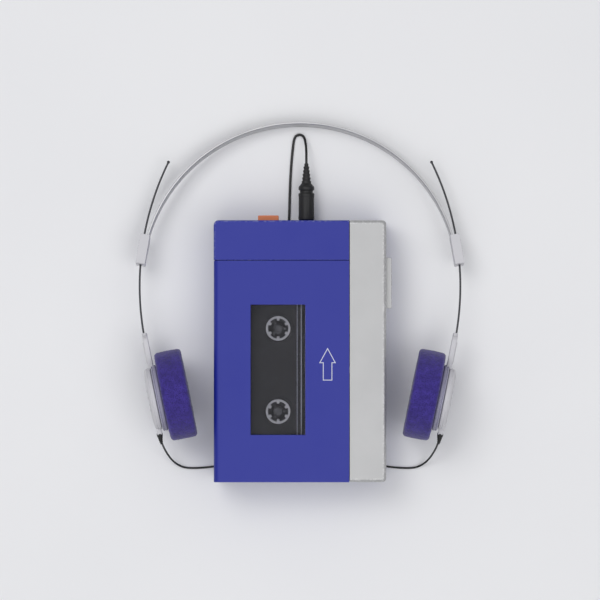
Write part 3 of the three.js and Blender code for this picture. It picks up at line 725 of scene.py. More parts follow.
def on_outline(edge, z):
    """True where an edge runs round the casing's outline at a height."""
    corner = 2.42

    def outside(point):
        beyond_x = abs(point.x) - HALF_WIDTH
        beyond_y = abs(point.y) - HALF_HEIGHT
        in_corner = beyond_x > -corner and beyond_y > -corner
        return beyond_x > -0.01 or beyond_y > -0.01 or in_corner

    ends = [v.co for v in edge.verts]
    middle = (ends[0] + ends[1]) / 2
    return all(abs(point.z - z) < 0.01 and outside(point) for point in (*ends, middle))


def refined(node_name, key, body, slot, width=0.2, outline_z=None, outer_width=0.9):
    """A finished copy of a CAD node: facets joined into faces, edges and outline rounded."""
    shape = bmesh.new()
    shape.from_mesh(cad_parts[node_name].data)
    bmesh.ops.transform(shape, matrix=PLAYER.inverted(), verts=shape.verts)
    bmesh.ops.remove_doubles(shape, verts=shape.verts, dist=0.004)
    bmesh.ops.dissolve_limit(
        shape, angle_limit=math.radians(1), verts=shape.verts, edges=shape.edges,
        delimit={"NORMAL"},
    )
    if outline_z is not None:
        outline = [edge for edge in sharp_edges(shape) if on_outline(edge, outline_z)]
        round_edges(shape, outline, outer_width, 5)
    round_edges(shape, sharp_edges(shape), width, 3)
    show(f"{node_name}_finished", shape, key, body, slot, replaces=(node_name,))


# ---- stage ---------------------------------------------------------------------------------
def make_stage():
    floor = bmesh.new()
    bmesh.ops.create_grid(floor, x_segments=8, y_segments=8, size=4)
    mesh = bpy.data.meshes.new("floor")
    floor.to_mesh(mesh)
    floor.free()
    ground = add_object("floor", mesh)
    pale, tree, shader = start_material("floor_paper")
    tint = place_group(
        tree, "Mottle", Main=solid(srgb(236, 236, 237)), Second=solid(srgb(230, 230, 232)),
        Scale=6, Contrast=0.5,
    )
    wire(tree, (tint, "Color", shader, "Base Color"))
    set_inputs(shader, Roughness=0.9, Specular_IOR_Level=0.1)
    mesh.materials.append(pale)

    world = bpy.data.worlds.new("studio")
    bpy.context.scene.world = world
    world.use_nodes = True
    tree = world.node_tree
    sky = tree.nodes["Background"]
    way = node(tree, "TexCoord")
    parts = node(tree, "SeparateXYZ")
    dome = node(tree, "ValToRGB")
    dark, bright = dome.color_ramp.elements
    dark.color = (0.2, 0.2, 0.21, 1)
    bright.color = (0.96, 0.97, 1.0, 1)
    bright.position = 0.75
    wire(
        tree, (way, "Generated", parts, "Vector"), (parts, "Z", dome, "Fac"),
        (dome, "Color", sky, "Color"),
    )
    set_inputs(sky, Strength=0.6)
    bpy.context.scene.view_settings.view_transform = "Standard"

    lamp_side = 0.9
    for name, place, power in (
        ("key_light", (-0.6, 0.6, 1.6), 9.2),
        ("fill_light", (0.6, -0.35, 1.5), 4.7),
        ("low_light", (-0.1, -0.75, 1.3), 2.4),
    ):
        lamp = bpy.data.lights.new(name, "AREA")
        lamp.size = lamp_side
        lamp.energy = power
        holder = add_object(name, lamp)
        holder.location = place
        holder.rotation_euler = (-Vector(place)).to_track_quat("-Z", "Y").to_euler()

    lens = bpy.data.cameras.new("camera")
    lens.lens = 200
    lens.sensor_width = 36
    lens.clip_start = 0.05
    view_height = 1.698
    camera = add_object("camera", lens)
    camera.location = (0.0, 0.0004, FRONT_Z * MM + view_height)
    bpy.context.scene.camera = camera


# ---- the lead ------------------------------------------------------------------------------
def coil_arm(steps_per_turn=48):
    """One of the coil's two strands, from the outside in, about the coil's middle."""
    pitch = 2 * COIL["pitch"]
    turns = (COIL["outer"] - COIL["inner"]) / pitch
    count = round(turns * steps_per_turn)
    arm = []
    for step in range(count + 1):
        angle = 2 * math.pi * turns * step / count
        away = COIL["outer"] - pitch * angle / (2 * math.pi)
        arm.append(Vector((away * math.sin(angle), away * math.cos(angle), 0)))
    return arm


def lead_in(point):
    """Carries the coil's first stretch outwards to where the lead joins it."""
    angle = math.atan2(point.x, point.y)
    share = min(max((angle + 0.1) / 1.1, 0), 1)
    lift = 1.3 * (1 - share * share * (3 - 2 * share))
    return point + point.normalized() * lift


def half_turn(start, stop, clockwise, steps=16):
    """A half circle from one point to another, without its two ends."""
    middle = (start + stop) / 2
    sense = -1 if clockwise else 1
    made = []
    for step in range(1, steps):
        turn = Matrix.Rotation(sense * math.pi * step / steps, 3, "Z")
        made.append(middle + turn @ (start - middle))
    return made


def lead_points():
    """The whole lead in millimetres: plug, loop, run under the player, flat coil, split."""
    height = Vector((COIL["x"], COIL["y"], LEAD_RADIUS + 0.03))
    arm = coil_arm()
    inner = arm[-1]
    centre = Vector((0, 0, 0))
    outgoing = [-point for point in reversed(arm)]
    arm = [lead_in(point) for point in arm[:12]] + arm[12:]
    coil = arm + half_turn(inner, centre, True) + [centre] + half_turn(centre, -inner, False)
    bend = 2.7
    leave = next(index for index, point in enumerate(outgoing) if point.y < -19 and point.x > -2.38)
    coil = [point + height for point in coil + outgoing[:leave]]
    slope = math.radians(-7)
    join = Vector((-2.38, 0.6, height.z))
    middle = join + bend * Vector((math.sin(slope), -math.cos(slope), 0))
    tail = []
    for step in range(1, 10):
        angle = slope + (math.radians(-90) - slope) * step / 9
        rise = (SPLIT_Z - height.z) * step / 9
        tail.append(middle + Vector((-bend * math.sin(angle), bend * math.cos(angle), rise)))
    tail.append(Vector((tail[-1].x, tail[-1].y - 1.2, SPLIT_Z)))
    run = smooth_path([*LEAD_ROUTE[:-1], coil[0], coil[2]], 7)[:-7]
    return run[:-1] + coil + tail


def make_lead():
    points = [PLAYER @ point for point in lead_points()]
    curve = bpy.data.curves.new("lead", "CURVE")
    curve.dimensions = "3D"
    curve.bevel_depth = LEAD_RADIUS * MM
    curve.bevel_resolution = 4
    curve.use_fill_caps = True
    spline = curve.splines.new("POLY")
    spline.points.add(len(points) - 1)
    for knot, point in zip(spline.points, points):
        knot.co = (*point, 1)
    spline.use_smooth = True
    curve.materials.append(material("sheath"))
    lead = add_object("lead", curve)
    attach(lead, "headset")
    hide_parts("main_cord", "cord_coil")

    plug = make_plug()
    split = make_split()
    legs = [make_leg(side) for side in ("left", "right")]


def make_leg(side):
    """One leg of the lead and the short moulding that it hangs from; returns both."""
    flip = 1 if side == "left" else -1
    route = smooth_path([(flip * x, y, z) for x, y, z in LEG_ROUTE], 6)
    shape = bmesh.new()
    sweep(shape, route, circle(LEG_RADIUS, 12), side=Vector((0.02, 0.03, 1)).normalized())
    leg = show(f"leg_{side}", shape, "sheath", None, "black_rubber")
    leg.modifiers.clear()
    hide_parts(f"cord_{side}")
    path = [PLAYER @ point for point in route]
    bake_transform(leg, f"rod_{side}", "headset", start=tuple(path[2]), end=tuple(path[48]))

    relief = bmesh.new()
    profile = [(0, -0.6), (1.5, -0.6), (1.55, 0.6)]
    for ring in range(4):
        away = 1.42 - 0.17 * ring
        profile += [(away, 0.9 + 0.95 * ring), (away - 0.02, 1.4 + 0.95 * ring)]
        profile += [(away - 0.3, 1.5 + 0.95 * ring), (away - 0.3, 1.75 + 0.95 * ring)]
    profile += [(0.62, 5.2), (0, 5.2)]
    start = Vector(route[0])
    nub = ear_place(side) @ Vector((0, 18.4, 12.0))
    top = PLAYER.inverted() @ nub
    along = (start - top).normalized()
    turn = Matrix.Translation(top) @ along.to_track_quat("Z", "Y").to_matrix().to_4x4()
    lathe(relief, profile, 20, 0.12, turn)
    boot = show(f"leg_boot_{side}", relief, "rubber", f"ear_{side}", "black_rubber")
    return (leg, path), [boot]


def ear_place(side):
    """The matrix that puts a piece, built facing out along z, on one ear."""
    return HEADSET @ EAR if side == "left" else HEADSET @ MIRROR @ EAR


def make_split():
    """The small moulding where the lead parts into two legs, with its ribbed neck."""
    shape = bmesh.new()
    body = [(-2.8, -17), (2.8, -17), (2.8, -8.6), (0.9, -6.6), (-0.9, -6.6), (-2.8, -8.6)]
    slab(shape, fillet(body, 1.1, 4, True), (0.05, 1.65), 0.5, 4)
    neck = [(0, -2.2), (0.92, -2.2), (0.95, -2.9)]
    for ring in range(3):
        low = -3.1 - ring * 1.15
        away = 1.02 + ring * 0.05
        neck += [(0.8, low), (0.8, low - 0.35), (away, low - 0.45), (away, low - 0.95)]
    neck += [(0.95, -7.0), (0, -7.0)]
    profile = [(radius * 0.9, along) for radius, along in reversed(neck)]
    lathe(shape, profile, 20, 0.1, at_z(0, 0, SPLIT_Z) @ ALONG_Y)
    return show("lead_split", shape, "rubber", "headset", "black_rubber", replaces=("cord_split",))


def make_plug():
    """The stereo plug: banded metal pin, fluted body, neck groove, knob and ribbed boot."""
    turn = at_z(JACK["x"], PLUG_START, JACK["z"]) @ ALONG_Y
    pin = bmesh.new()
    tip = [(0, -14), (0.7, -13.9), (1.25, -13.2), (1.6, -12.3), (1.15, -11.5), (1.1, -11.1)]
    tip.append((1.75, -10.5))
    for ring in (-8.6, -5.6):
        tip += [(1.75, ring - 0.35), (1.62, ring - 0.3), (1.62, ring + 0.3), (1.75, ring + 0.35)]
    tip += [(1.75, 0.2), (0, 0.2)]
    lathe(pin, tip, 32, 0.12, turn)
    show("plug_pin", pin, "steel", "headset", "steel")

    body = bmesh.new()
    flutes = 18
    depth = 0.022

    def fluted(angle, height):
        gripped = 2.2 < height < 12.6
        return 1 - depth * (0.5 + 0.5 * math.cos(flutes * angle)) if gripped else 1

    shell = [(0, 0), (3.4, 0), (4.1, 0.7), (4.1, 2.2), (4.05, 2.4), (4.05, 12.4), (4.1, 12.6)]
    shell += [(4.1, 13.9), (3.75, 14.2), (3.35, 14.3), (3.35, 15.5), (3.6, 15.6), (4.05, 15.9)]
    shell += [(4.05, 17.2), (3.8, 17.7), (2.75, 18.9), (2.5, 19.3)]
    for rib in range(5):
        away = 2.42 - rib * 0.23
        low = 19.5 + rib * 1.85
        shell += [(away, low), (away, low + 0.95)]
        shell += [(away - 0.42, low + 1.05), (away - 0.42, low + 1.7)]
    shell += [(1.1, 28.9), (0.95, 29.5), (0, 29.5)]
    lathe(body, shell, 72, 0.14, turn, fluted)
    return show("plug_body", body, "rubber", "headset", "black_rubber", replaces=("plug",))


# ---- the casing ----------------------------------------------------------------------------
PANEL_ROUND = 1.9
DOOR_ROUND = 0.8


def make_casing():
    edge = sizes().case_edge / MM
    fine = sizes().fine_edge / MM
    refined("front_cap", "blue", "player", "blue_metal", fine, FRONT_Z, edge)
    refined("side_panel", "silver", "player", "bare_metal", fine, FRONT_Z, PANEL_ROUND)
    refined("well_frame", "blue", "player", "blue_metal", fine)
    refined("back_cover", "blue", "player", "blue_metal", fine, BACK_Z, edge)
    refined("battery_cap", "blue", "battery_cap_body", "blue_metal", fine)


def make_door():
    fine = sizes().fine_edge / MM
    refined("cassette_door", "blue", "door", "blue_metal", fine, FRONT_Z, DOOR_ROUND)
    refined("door_window", "glass", "door", "smoked_window", 0.25)
    refined("cassette_holder", "steel", "door", "steel", 0.12)


# ---- tape, reels and cassette --------------------------------------------------------------
HUB_X = -11.2
REELS = {"takeup": (11.55, 14.0), "supply": (-30.95, 20.0)}
CASSETTE = {"x": (-40.9, 22.9), "y": (-59.9, 40.5), "middle": 21.0, "thin": 8.7, "thick": 12.0}
CASSETTE_Y = (CASSETTE["y"][0] + CASSETTE["y"][1]) / 2


def make_reels():
    """The two toothed hubs, each with its wound tape, whose layers stand a little uneven."""
    for name, (y, tape_radius) in REELS.items():
        body = f"{name}_reel_body"
        place = at_z(HUB_X, y)
        hub = bmesh.new()
        ring = [(5.25, 16.9), (6.25, 16.9), (6.25, 25.1), (5.25, 25.1), (5.25, 16.9)]
        lathe(hub, ring, 72, 0, place)
        for step in range(6):
            turn = at_z(HUB_X, y, 0, math.radians(30 + 60 * step))
            tooth = [(5.45, -0.85), (5.45, 0.85), (4.0, 0.6), (4.0, -0.6)]
            slab(hub, fillet(tooth, 0.3, 3, True), (17.1, 25.0), 0.15, 2, turn)
        show(f"{name}_hub", hub, "hub", body, "pale_plastic", replaces=(f"{name}_reel",))
        tape = bmesh.new()
        wound = [(6.3, 18.7)]
        layers = 26
        for layer in range(layers + 1):
            away = 6.6 + (tape_radius - 6.6) * layer / layers
            step = 0.05 * noise.noise(Vector((layer * 1.7, y, 0)))
            wound.append((away, 18.62 + step))
        wound += [(tape_radius, 18.9), (tape_radius, 23.1)]
        for layer in range(layers + 1):
            away = tape_radius - (tape_radius - 6.6) * layer / layers
            step = 0.05 * noise.noise(Vector((layer * 1.3, y, 5)))
            wound.append((away, 23.38 + step))
        wound += [(6.3, 23.3), (6.3, 18.7)]
        lathe(tape, wound, 64, 0, place)
        show(f"{name}_tape", tape, "tape", body, "pale_plastic")


def make_spindles():
    """The two drive spindles: splined tip, collar, spring and friction wheel."""
    for name, (y, _) in REELS.items():
        shape = bmesh.new()
        place = at_z(HUB_X, y)
        profile = [(0, 7), (1, 7), (1, 8), (8.6, 8), (9, 8.4), (9, 9.2), (8.75, 9.4), (8.75, 10.6)]
        profile += [(9, 10.8), (9, 11.6), (8.6, 12), (3.4, 12), (3.4, 12.8), (2.6, 13), (2.6, 22.2)]
        profile += [(2.5, 22.9), (2.1, 23.6), (1.4, 24.05), (0.6, 24.2), (0, 24.2)]
        lathe(shape, profile, 48, 0.18, place)
        for step in range(3):
            turn = at_z(HUB_X, y, 0, math.radians(120 * step))
            fin = [(1, -0.6), (4.1, -0.6), (4.4, -0.3), (4.4, 0.3), (4.1, 0.6), (1, 0.6)]
            slab(shape, fin, (16.4, 21.4), 0.2, 3, turn)
        show(
            f"{name}_drive", shape, "spindle", f"{name}_spindle_body", "pale_plastic",
            replaces=(f"{name}_spindle",),
        )


def make_cassette():
    """The cassette's two halves with label, screws, raised head end and liner lines."""
    fine = 0.22
    for side in ("back", "front"):
        refined(f"cassette_{side}_half", "cassette", "door", "cassette_shell", fine)
    top = CASSETTE["middle"] + CASSETTE["thin"] / 2
    low_x, high_x = CASSETTE["x"]
    label = bmesh.new()
    for xs in ((low_x + 4.5, HUB_X - 9), (HUB_X + 9, high_x - 17)):
        outline = [(xs[0], CASSETTE_Y - 44), (xs[1], CASSETTE_Y - 44)]
        outline += [(xs[1], CASSETTE_Y + 44), (xs[0], CASSETTE_Y + 44)]
        slab(label, fillet(outline, 2.5, 5, True), (top + 0.02, top + 0.12), 0.03)
    for hub_y, _ in REELS.values():
        ring = [(6.6, top - 0.6), (8.2, top - 0.6), (8.2, top + 0.3), (7.9, top + 0.42)]
        ring += [(6.9, top + 0.42), (6.6, top + 0.3), (6.6, top - 0.6)]
        lathe(label, ring, 56, 0, at_z(HUB_X, hub_y))
    show("cassette_label", label, "label", "door", "cassette_shell")
    stripes = bmesh.new()
    for step, width in enumerate((0.9, 0.5, 0.3)):
        x = high_x - 20.5 - step * 2.0
        block(stripes, (x, x + width), (CASSETTE_Y - 40, CASSETTE_Y + 40), (top + 0.1, top + 0.16))
    for y in (CASSETTE_Y - 26, CASSETTE_Y - 20, CASSETTE_Y + 20, CASSETTE_Y + 26):
        block(stripes, (low_x + 7, low_x + 7.5), (y - 2, y + 2), (top + 0.1, top + 0.16))
    show("cassette_stripes", stripes, "print", "door", "cassette_shell")
    screws = bmesh.new()
    low_y, high_y = CASSETTE["y"]
    corners = [(x, y) for x in (low_x + 2.6, high_x - 2.6) for y in (low_y + 2.6, high_y - 2.6)]
    for x, y in [*corners, (high_x - 6, CASSETTE_Y)]:
        height = top if abs(y - CASSETTE_Y) > 1 else CASSETTE["middle"] + CASSETTE["thick"] / 2
        screw(screws, at_z(x, y, height - 0.15), 1.25)
    show("cassette_screws", screws, "steel", "door", "steel")
    tape = bmesh.new()
    run = [(-42, 21.6), (-8, 20.62), (7, 20.62), (20.9, 19.24), (30.1, 19.24), (42, 21.4)]
    near = [(x, CASSETTE_Y + y) for y, x in run]
    slab(tape, near + [(x + 0.06, y) for x, y in reversed(near)], (19.2, 22.8))
    show("cassette_tape_run", tape, "tape", "door", "cassette_shell")
    pad = bmesh.new()
    block(pad, (18.6, 18.8), (CASSETTE_Y - 8, CASSETTE_Y + 8), (19.4, 22.6), 0.06)
    block(pad, (18.8, 20.6), (CASSETTE_Y - 2.6, CASSETTE_Y + 2.6), (19.3, 22.7), 0.3)
    show("cassette_pressure_pad", pad, "brass", "door", "brass")


def screw(shape, place, radius, slotted=False):
    """A small pan-head screw with a cross or a straight slot, standing along z."""
    part = bmesh.new()
    high = radius * 0.55
    profile = [(0, -0.5), (radius * 0.5, -0.5), (radius * 0.5, 0), (radius, 0)]
    profile += [(radius, high * 0.4), (radius * 0.78, high * 0.85), (radius * 0.62, high)]
    profile += [(0, high)]
    lathe(part, profile, 28, 0.05)
    arms = bmesh.new()
    long, thin = [(-reach, reach) for reach in (radius * 0.55, radius * 0.12)]
    block(arms, long, thin, (high * 0.35, high * 1.5))
    if not slotted:
        block(arms, thin, long, (high * 0.35, high * 1.5))
    add_part(shape, cut_away(part, arms), place)


def cut_away(part, tool):
    """One bmesh less another; both are freed."""
    holders = []
    for piece in (part, tool):
        data = bpy.data.meshes.new("cutting")
        piece.to_mesh(data)
        piece.free()
        holders.append(add_object("cutting", data))
    cutter = holders[0].modifiers.new("cut", "BOOLEAN")
    cutter.operation = "DIFFERENCE"
    cutter.solver = "EXACT"
    cutter.use_self = True
    cutter.object = holders[1]
    bpy.context.view_layer.update()
    seen = holders[0].evaluated_get(bpy.context.evaluated_depsgraph_get())
    result = bmesh.new()
    result.from_mesh(seen.to_mesh())
    seen.to_mesh_clear()
    for holder in holders:
        data = holder.data
        bpy.data.objects.remove(holder)
        bpy.data.meshes.remove(data)
    return result


# ---- print and trim on the door ------------------------------------------------------------
def make_arrow():
    """The printed outline arrow on the door, a thin raised line."""
    tip_x, tip_y, head, shaft, head_high, bottom = 14.05, 1.35, 3.95, 2.2, 7.2, -14.7
    width = sizes().print_width / MM
    right = [(head, tip_y - head_high), (shaft, tip_y - head_high), (shaft, bottom)]
    left = [(-x, y) for x, y in reversed(right)]
    outline = [Vector((tip_x + x, y)) for x, y in [(0, tip_y), *right, *left]]
    count = len(outline)
    outer, inner = [], []
    for index, corner in enumerate(outline):
        before = (corner - outline[index - 1]).normalized()
        after = (outline[(index + 1) % count] - corner).normalized()
        across = Vector((before.y, -before.x)) + Vector((after.y, -after.x))
        reach = across.normalized() * (width / 2) / max(across.length / 2, 0.3)
        outer.append(corner - reach)
        inner.append(corner + reach)
    shape = bmesh.new()
    low, high = FRONT_Z - 0.02, FRONT_Z + 0.03
    loops = ((outer, low), (outer, high), (inner, high), (inner, low))
    rings = [[shape.verts.new((p.x, p.y, z)) for p in ring] for ring, z in loops]
    join_rings(shape, [*rings, rings[0]])
    show("door_arrow", shape, "print", "door", "blue_metal", angle=20)


# ---- keys, button and sliders --------------------------------------------------------------
KEY_Z = (19.3, 26.7)
SLIDER_Y = -40
SLIDERS = {"left": (20, 22), "right": (25, 27)}
KEYS = {
    "play_key": ((21.8, 47.8), 46.8, "play_key_body"),
    "stop_key": ((8, 18), 43.75, "stop_key_body"),
    "rewind_key": ((-6, 4), 43.75, "rewind_key_body"),
    "forward_key": ((-20, -10), 43.75, "forward_key_body"),
}


def make_keys():
    """The metal keys down the side, each with a raised mark, and the two volume sliders."""
    for name, ((low, high), face, body) in KEYS.items():
        shape = bmesh.new()
        block(shape, (36.4, face), (low, high), KEY_Z, 0.35, 3)
        show(f"{name}_cap", shape, "key", body, "bare_metal", replaces=(name,))
        mark = bmesh.new()
        key_mark(mark, name, face, (low + high) / 2)
        show(f"{name}_mark", mark, "rubber", body, "black_rubber")
    scale = bmesh.new()
    for side, (low, high) in SLIDERS.items():
        shape = bmesh.new()
        ridges = [(40.4, SLIDER_Y - 3), (43.2, SLIDER_Y - 3)]
        for step in range(9):
            y = SLIDER_Y - 2.7 + step * 0.6
            ridges += [(43.75, y + 0.08), (43.75, y + 0.32), (43.45, y + 0.38), (43.45, y + 0.54)]
        ridges += [(43.2, SLIDER_Y + 3), (40.4, SLIDER_Y + 3)]
        slab(shape, ridges, (low, high))
        show(
            f"volume_knob_{side}", shape, "black", f"volume_{side}_body", "black_plastic",
            replaces=(f"volume_slider_{side}",),
        )
        for ys in ((-51.2, -50.7), (-29.3, -28.8)):
            block(scale, (43.96, 44.06), ys, (low - 0.2, high + 0.2))
        way, start = (1, high + 0.7) if side == "right" else (-1, low - 0.7)
        for step in range(9):
            y = -48 + step * 2
            zs = sorted((start, start + way * (0.5 if step % 4 else 0.9)))
            block(scale, (43.97, 44.04), (y - 0.1, y + 0.1), zs)
    show("volume_scale", scale, "rubber", "player", "black_rubber")


def key_mark(shape, name, face, middle):
    """The plain raised sign on a key: triangle, square or double triangle."""
    z = (KEY_Z[0] + KEY_Z[1]) / 2
    turn = Matrix(((0, 0, 1, 0), (1, 0, 0, middle), (0, 1, 0, z), (0, 0, 0, 1)))
    way = 1 if name == "forward_key" else -1
    signs = {
        "play_key": [[(1.8, 0), (-1.4, 1.7), (-1.4, -1.7)]],
        "stop_key": [[(1.3, -1.3), (1.3, 1.3), (-1.3, 1.3), (-1.3, -1.3)]],
    }
    double = [
        [(way * (start + 1.7), 0), (way * start, 1.25), (way * start, -1.25)][::way]
        for start in (-1.7, 0.1)
    ]
    for points in signs.get(name, double):
        slab(shape, points, (face - 0.04, face + 0.12), 0.03, 1, turn)


def make_button():
    """The orange button on the top edge, with fine grip ribs on its face."""
    shape = bmesh.new()
    block(shape, (-21.5, -10.9), (60, HALF_HEIGHT + 2.6), (17, 24), 0.45, 4)
    button = ("orange", "talk_button_body", "orange_plastic")
    show("talk_button_cap", shape, *button, replaces=("talk_button",))
    ribs = bmesh.new()
    ys = (HALF_HEIGHT + 2.5, HALF_HEIGHT + 2.78)
    for step in range(5):
        x = -18.6 + step * 1.2
        block(ribs, (x - 0.22, x + 0.22), ys, (18.4, 22.6), 0.1)
    show("talk_button_ribs", ribs, *button)


# ---- headphones ----------------------------------------------------------------------------
def strip_section(thick, wide, groove=0.12):
    """Half-rounded steel strip, its first axis the thickness, with a fine line near each rim."""
    half, rim = thick / 2, wide / 2
    side = [(half - 0.25, -rim), (half, -rim + 0.3), (half, -rim + 0.9)]
    side += [(half - groove, -rim + 1.0)]
    side += [(half - groove, -rim + 1.2), (half, -rim + 1.3)]
    upper = [(a, -b) for a, b in reversed(side)]
    right = side + upper
    return right + [(-a, -b) for a, b in right]


def make_headband():
    """The sprung steel band, with a rivet towards each end."""
    shape = bmesh.new()
    path = arc(0, BAND["y"], BAND["radius"], BAND["end"], math.pi - BAND["end"], 120)
    sweep(shape, path, strip_section(BAND["thickness"], BAND["width"]))
    show("headband_strip", shape, "band", "headset", "band_steel", HEADSET, ("headband",))
    rivets = bmesh.new()
    for sign in (-1, 1):
        turn = math.pi / 2 + sign * math.radians(62)
        [place] = arc(0, BAND["y"], BAND["radius"] + 0.45, turn, turn, 1)[:1]
        outward = Vector((math.cos(turn), math.sin(turn), 0)).to_track_quat("Z", "Y").to_matrix()
        dome = [(0, 0), (1.3, 0), (1.3, 0.3), (1.0, 0.6), (0, 0.75)]
        lathe(rivets, dome, 24, 0.1, Matrix.Translation(place) @ outward.to_4x4())
    show("headband_rivets", rivets, "steel", "headset", "steel", HEADSET)


def make_sleeve(side):
    """The moulded sleeve that joins the band and the rod, with grip ridges on its outer face."""
    refined(f"band_sleeve_{side}", "cap", "headset", "pale_plastic", 0.4)
    ridges = bmesh.new()
    thick, _, wide = SLEEVE["size"]
    outer = -thick / 2
    reach = wide / 2 - 1.3
    for step in range(7):
        y = -4.2 + step * 1.4
        block(ridges, (outer - 0.22, outer + 0.1), (y - 0.28, y + 0.28), (-reach, reach), 0.12)
    place = at_z(SLEEVE["x"], SLEEVE["y"], 0, -SLEEVE["lean"])
    if side == "right":
        place = MIRROR @ place
    show(f"sleeve_ridges_{side}", ridges, "cap", "headset", "pale_plastic", HEADSET @ place)


def make_rod(side):
    """The springy rod that carries an ear piece, with a ball on its end."""
    shape = bmesh.new()
    low, high = (math.pi - math.radians(ROD[end]) for end in ("low", "high"))
    path = arc(ROD["x"], ROD["y"], ROD["radius"], low, high, 60)
    sweep(shape, path, circle(ROD["thick"], 14))
    ball = [(0, -0.8), (0.45, -0.66), (0.72, -0.3), (0.8, 0), (0.72, 0.3), (0.45, 0.66), (0, 0.8)]
    lathe(shape, ball, 20, 0, Matrix.Translation(path[-1]))
    place = HEADSET if side == "left" else HEADSET @ MIRROR
    body = f"rod_{side}"
    show(f"{body}_finished", shape, "rod", body, "black_plastic", place, (f"slide_rod_{side}",))


def make_ear(side):
    """One ear piece: foam pad, dished plate, hanger arm, vented cap with its lead nub."""
    place = ear_place(side)
    body = f"ear_{side}"
    plate = bmesh.new()
    profile = [(0, 7.0), (15.6, 7.0), (16.6, 7.2), (17, 7.7), (17, 8.6), (16.7, 8.75)]
    profile += [(16.7, 9.0), (17, 9.15), (17, 9.5), (16.6, 9.85), (0, 9.85)]
    lathe(plate, profile, 96, 0.15)
    show(f"plate_{side}", plate, "plate", body, "cap_plastic", place, (f"ear_plate_{side}",))

    arm = bmesh.new()
    right = [(2.6, -32.6), (4, -30.8), (4, -20), (6.2, -14.5)]
    outline = [(-4, -30.8), (-2.6, -32.6), *right, (-6.2, -14.5), (-4, -20)]
    slab(arm, fillet(outline, 1.6, 4, True), (8.3, 10.95), 0.5, 3)
    block(arm, (-2.9, 2.9), (-29.5, -18.5), (10.6, 11.35), 0.35, 3)
    barrel = [(0, -34.3), (1.15, -34.3), (1.35, -33.9), (1.35, -32.2), (0, -32.2)]
    lathe(arm, barrel, 24, 0.15, at_z(0, 0, 9.6) @ ALONG_Y)
    show(f"hanger_{side}", arm, "cap", body, "cap_plastic", place)

    cap = bmesh.new()
    profile = [(0, 9.9), (14.6, 9.9), (14.9, 10.1), (15.6, 10.15), (16, 10.5), (16, 11.6)]
    profile += [(15.75, 11.75), (15.75, 12.0), (15.9, 12.2), (15.4, 13.0), (14.2, 13.6)]
    profile += [(12.6, 13.85), (11.6, 13.85), (11.4, 13.6), (10.6, 13.6), (10.4, 13.9)]
    profile += [(5.4, 13.9), (5.1, 13.6), (0, 13.5)]
    lathe(cap, profile, 96, 0.16)
    block(cap, (-1.5, 1.5), (14.6, 18.8), (10.7, 13.2), 0.5, 3)
    show(f"cap_{side}", cap, "cap", body, "cap_plastic", place, (f"ear_cap_{side}",))

    vents = bmesh.new()
    for step in range(16):
        slot = bmesh.new()
        block(slot, (6.6, 9.4), (-0.42, 0.42), (13.86, 13.98), 0.05)
        add_part(vents, slot, at_z(0, 0, 0, math.pi * step / 8))
    lathe(vents, [(0, 13.45), (4.6, 13.45), (4.7, 13.6), (4.4, 13.75), (0, 13.8)], 48, 0.05)
    show(f"cap_vents_{side}", vents, "black", body, "cap_plastic", place)


def foam_profile(radius, half):
    """Half the outline of a pad: a full flat face, a soft corner and a slightly bowed side."""
    corner = 1.9
    side = radius - 0.15 - corner
    points = [(0, -half + 0.5), (4, -half + 0.42), (9, -half + 0.22), (14, -half + 0.08)]
    points += [(17, -half + 0.02), (radius - corner - 0.15, -half)]
    for step in range(1, 9):
        angle = math.radians(-90 + 82 * step / 8)
        points.append((side + corner * math.cos(angle), corner - half + corner * math.sin(angle)))
    points += [(radius - 0.05, -half * 0.4), (radius, 0)]
    lower = [Vector(point) for point in points]
    return lower + [Vector((point.x, -point.y)) for point in reversed(lower[:-1])]


def make_pad(side):
    """A foam disc with a fine uneven skin, glued to the plate by its back face."""
    shape = bmesh.new()
    outline = foam_profile(PAD["radius"], PAD["depth"] / 2)
    dense = []
    for start, stop in zip(outline, outline[1:]):
        pieces = max(1, round((stop - start).length / 0.55))
        dense += [start.lerp(stop, index / pieces) for index in range(pieces)]
    dense.append(outline[-1])
    lathe(shape, dense, 220)
    rise = sizes().foam_rise / MM
    shape.normal_update()
    for vertex in shape.verts:
        coarse = noise.noise(vertex.co * 0.16) * 0.2
        fine = noise.noise(vertex.co * 1.15) + 0.6 * noise.noise(vertex.co * 2.3)
        vertex.co += vertex.normal * (rise * (fine - 0.3) + coarse * 0.3)
    pad = show(
        f"pad_{side}", shape, "foam", f"ear_{side}", "foam", ear_place(side),
        (f"ear_pad_{side}",), 180,
    )
    pad.modifiers.clear()


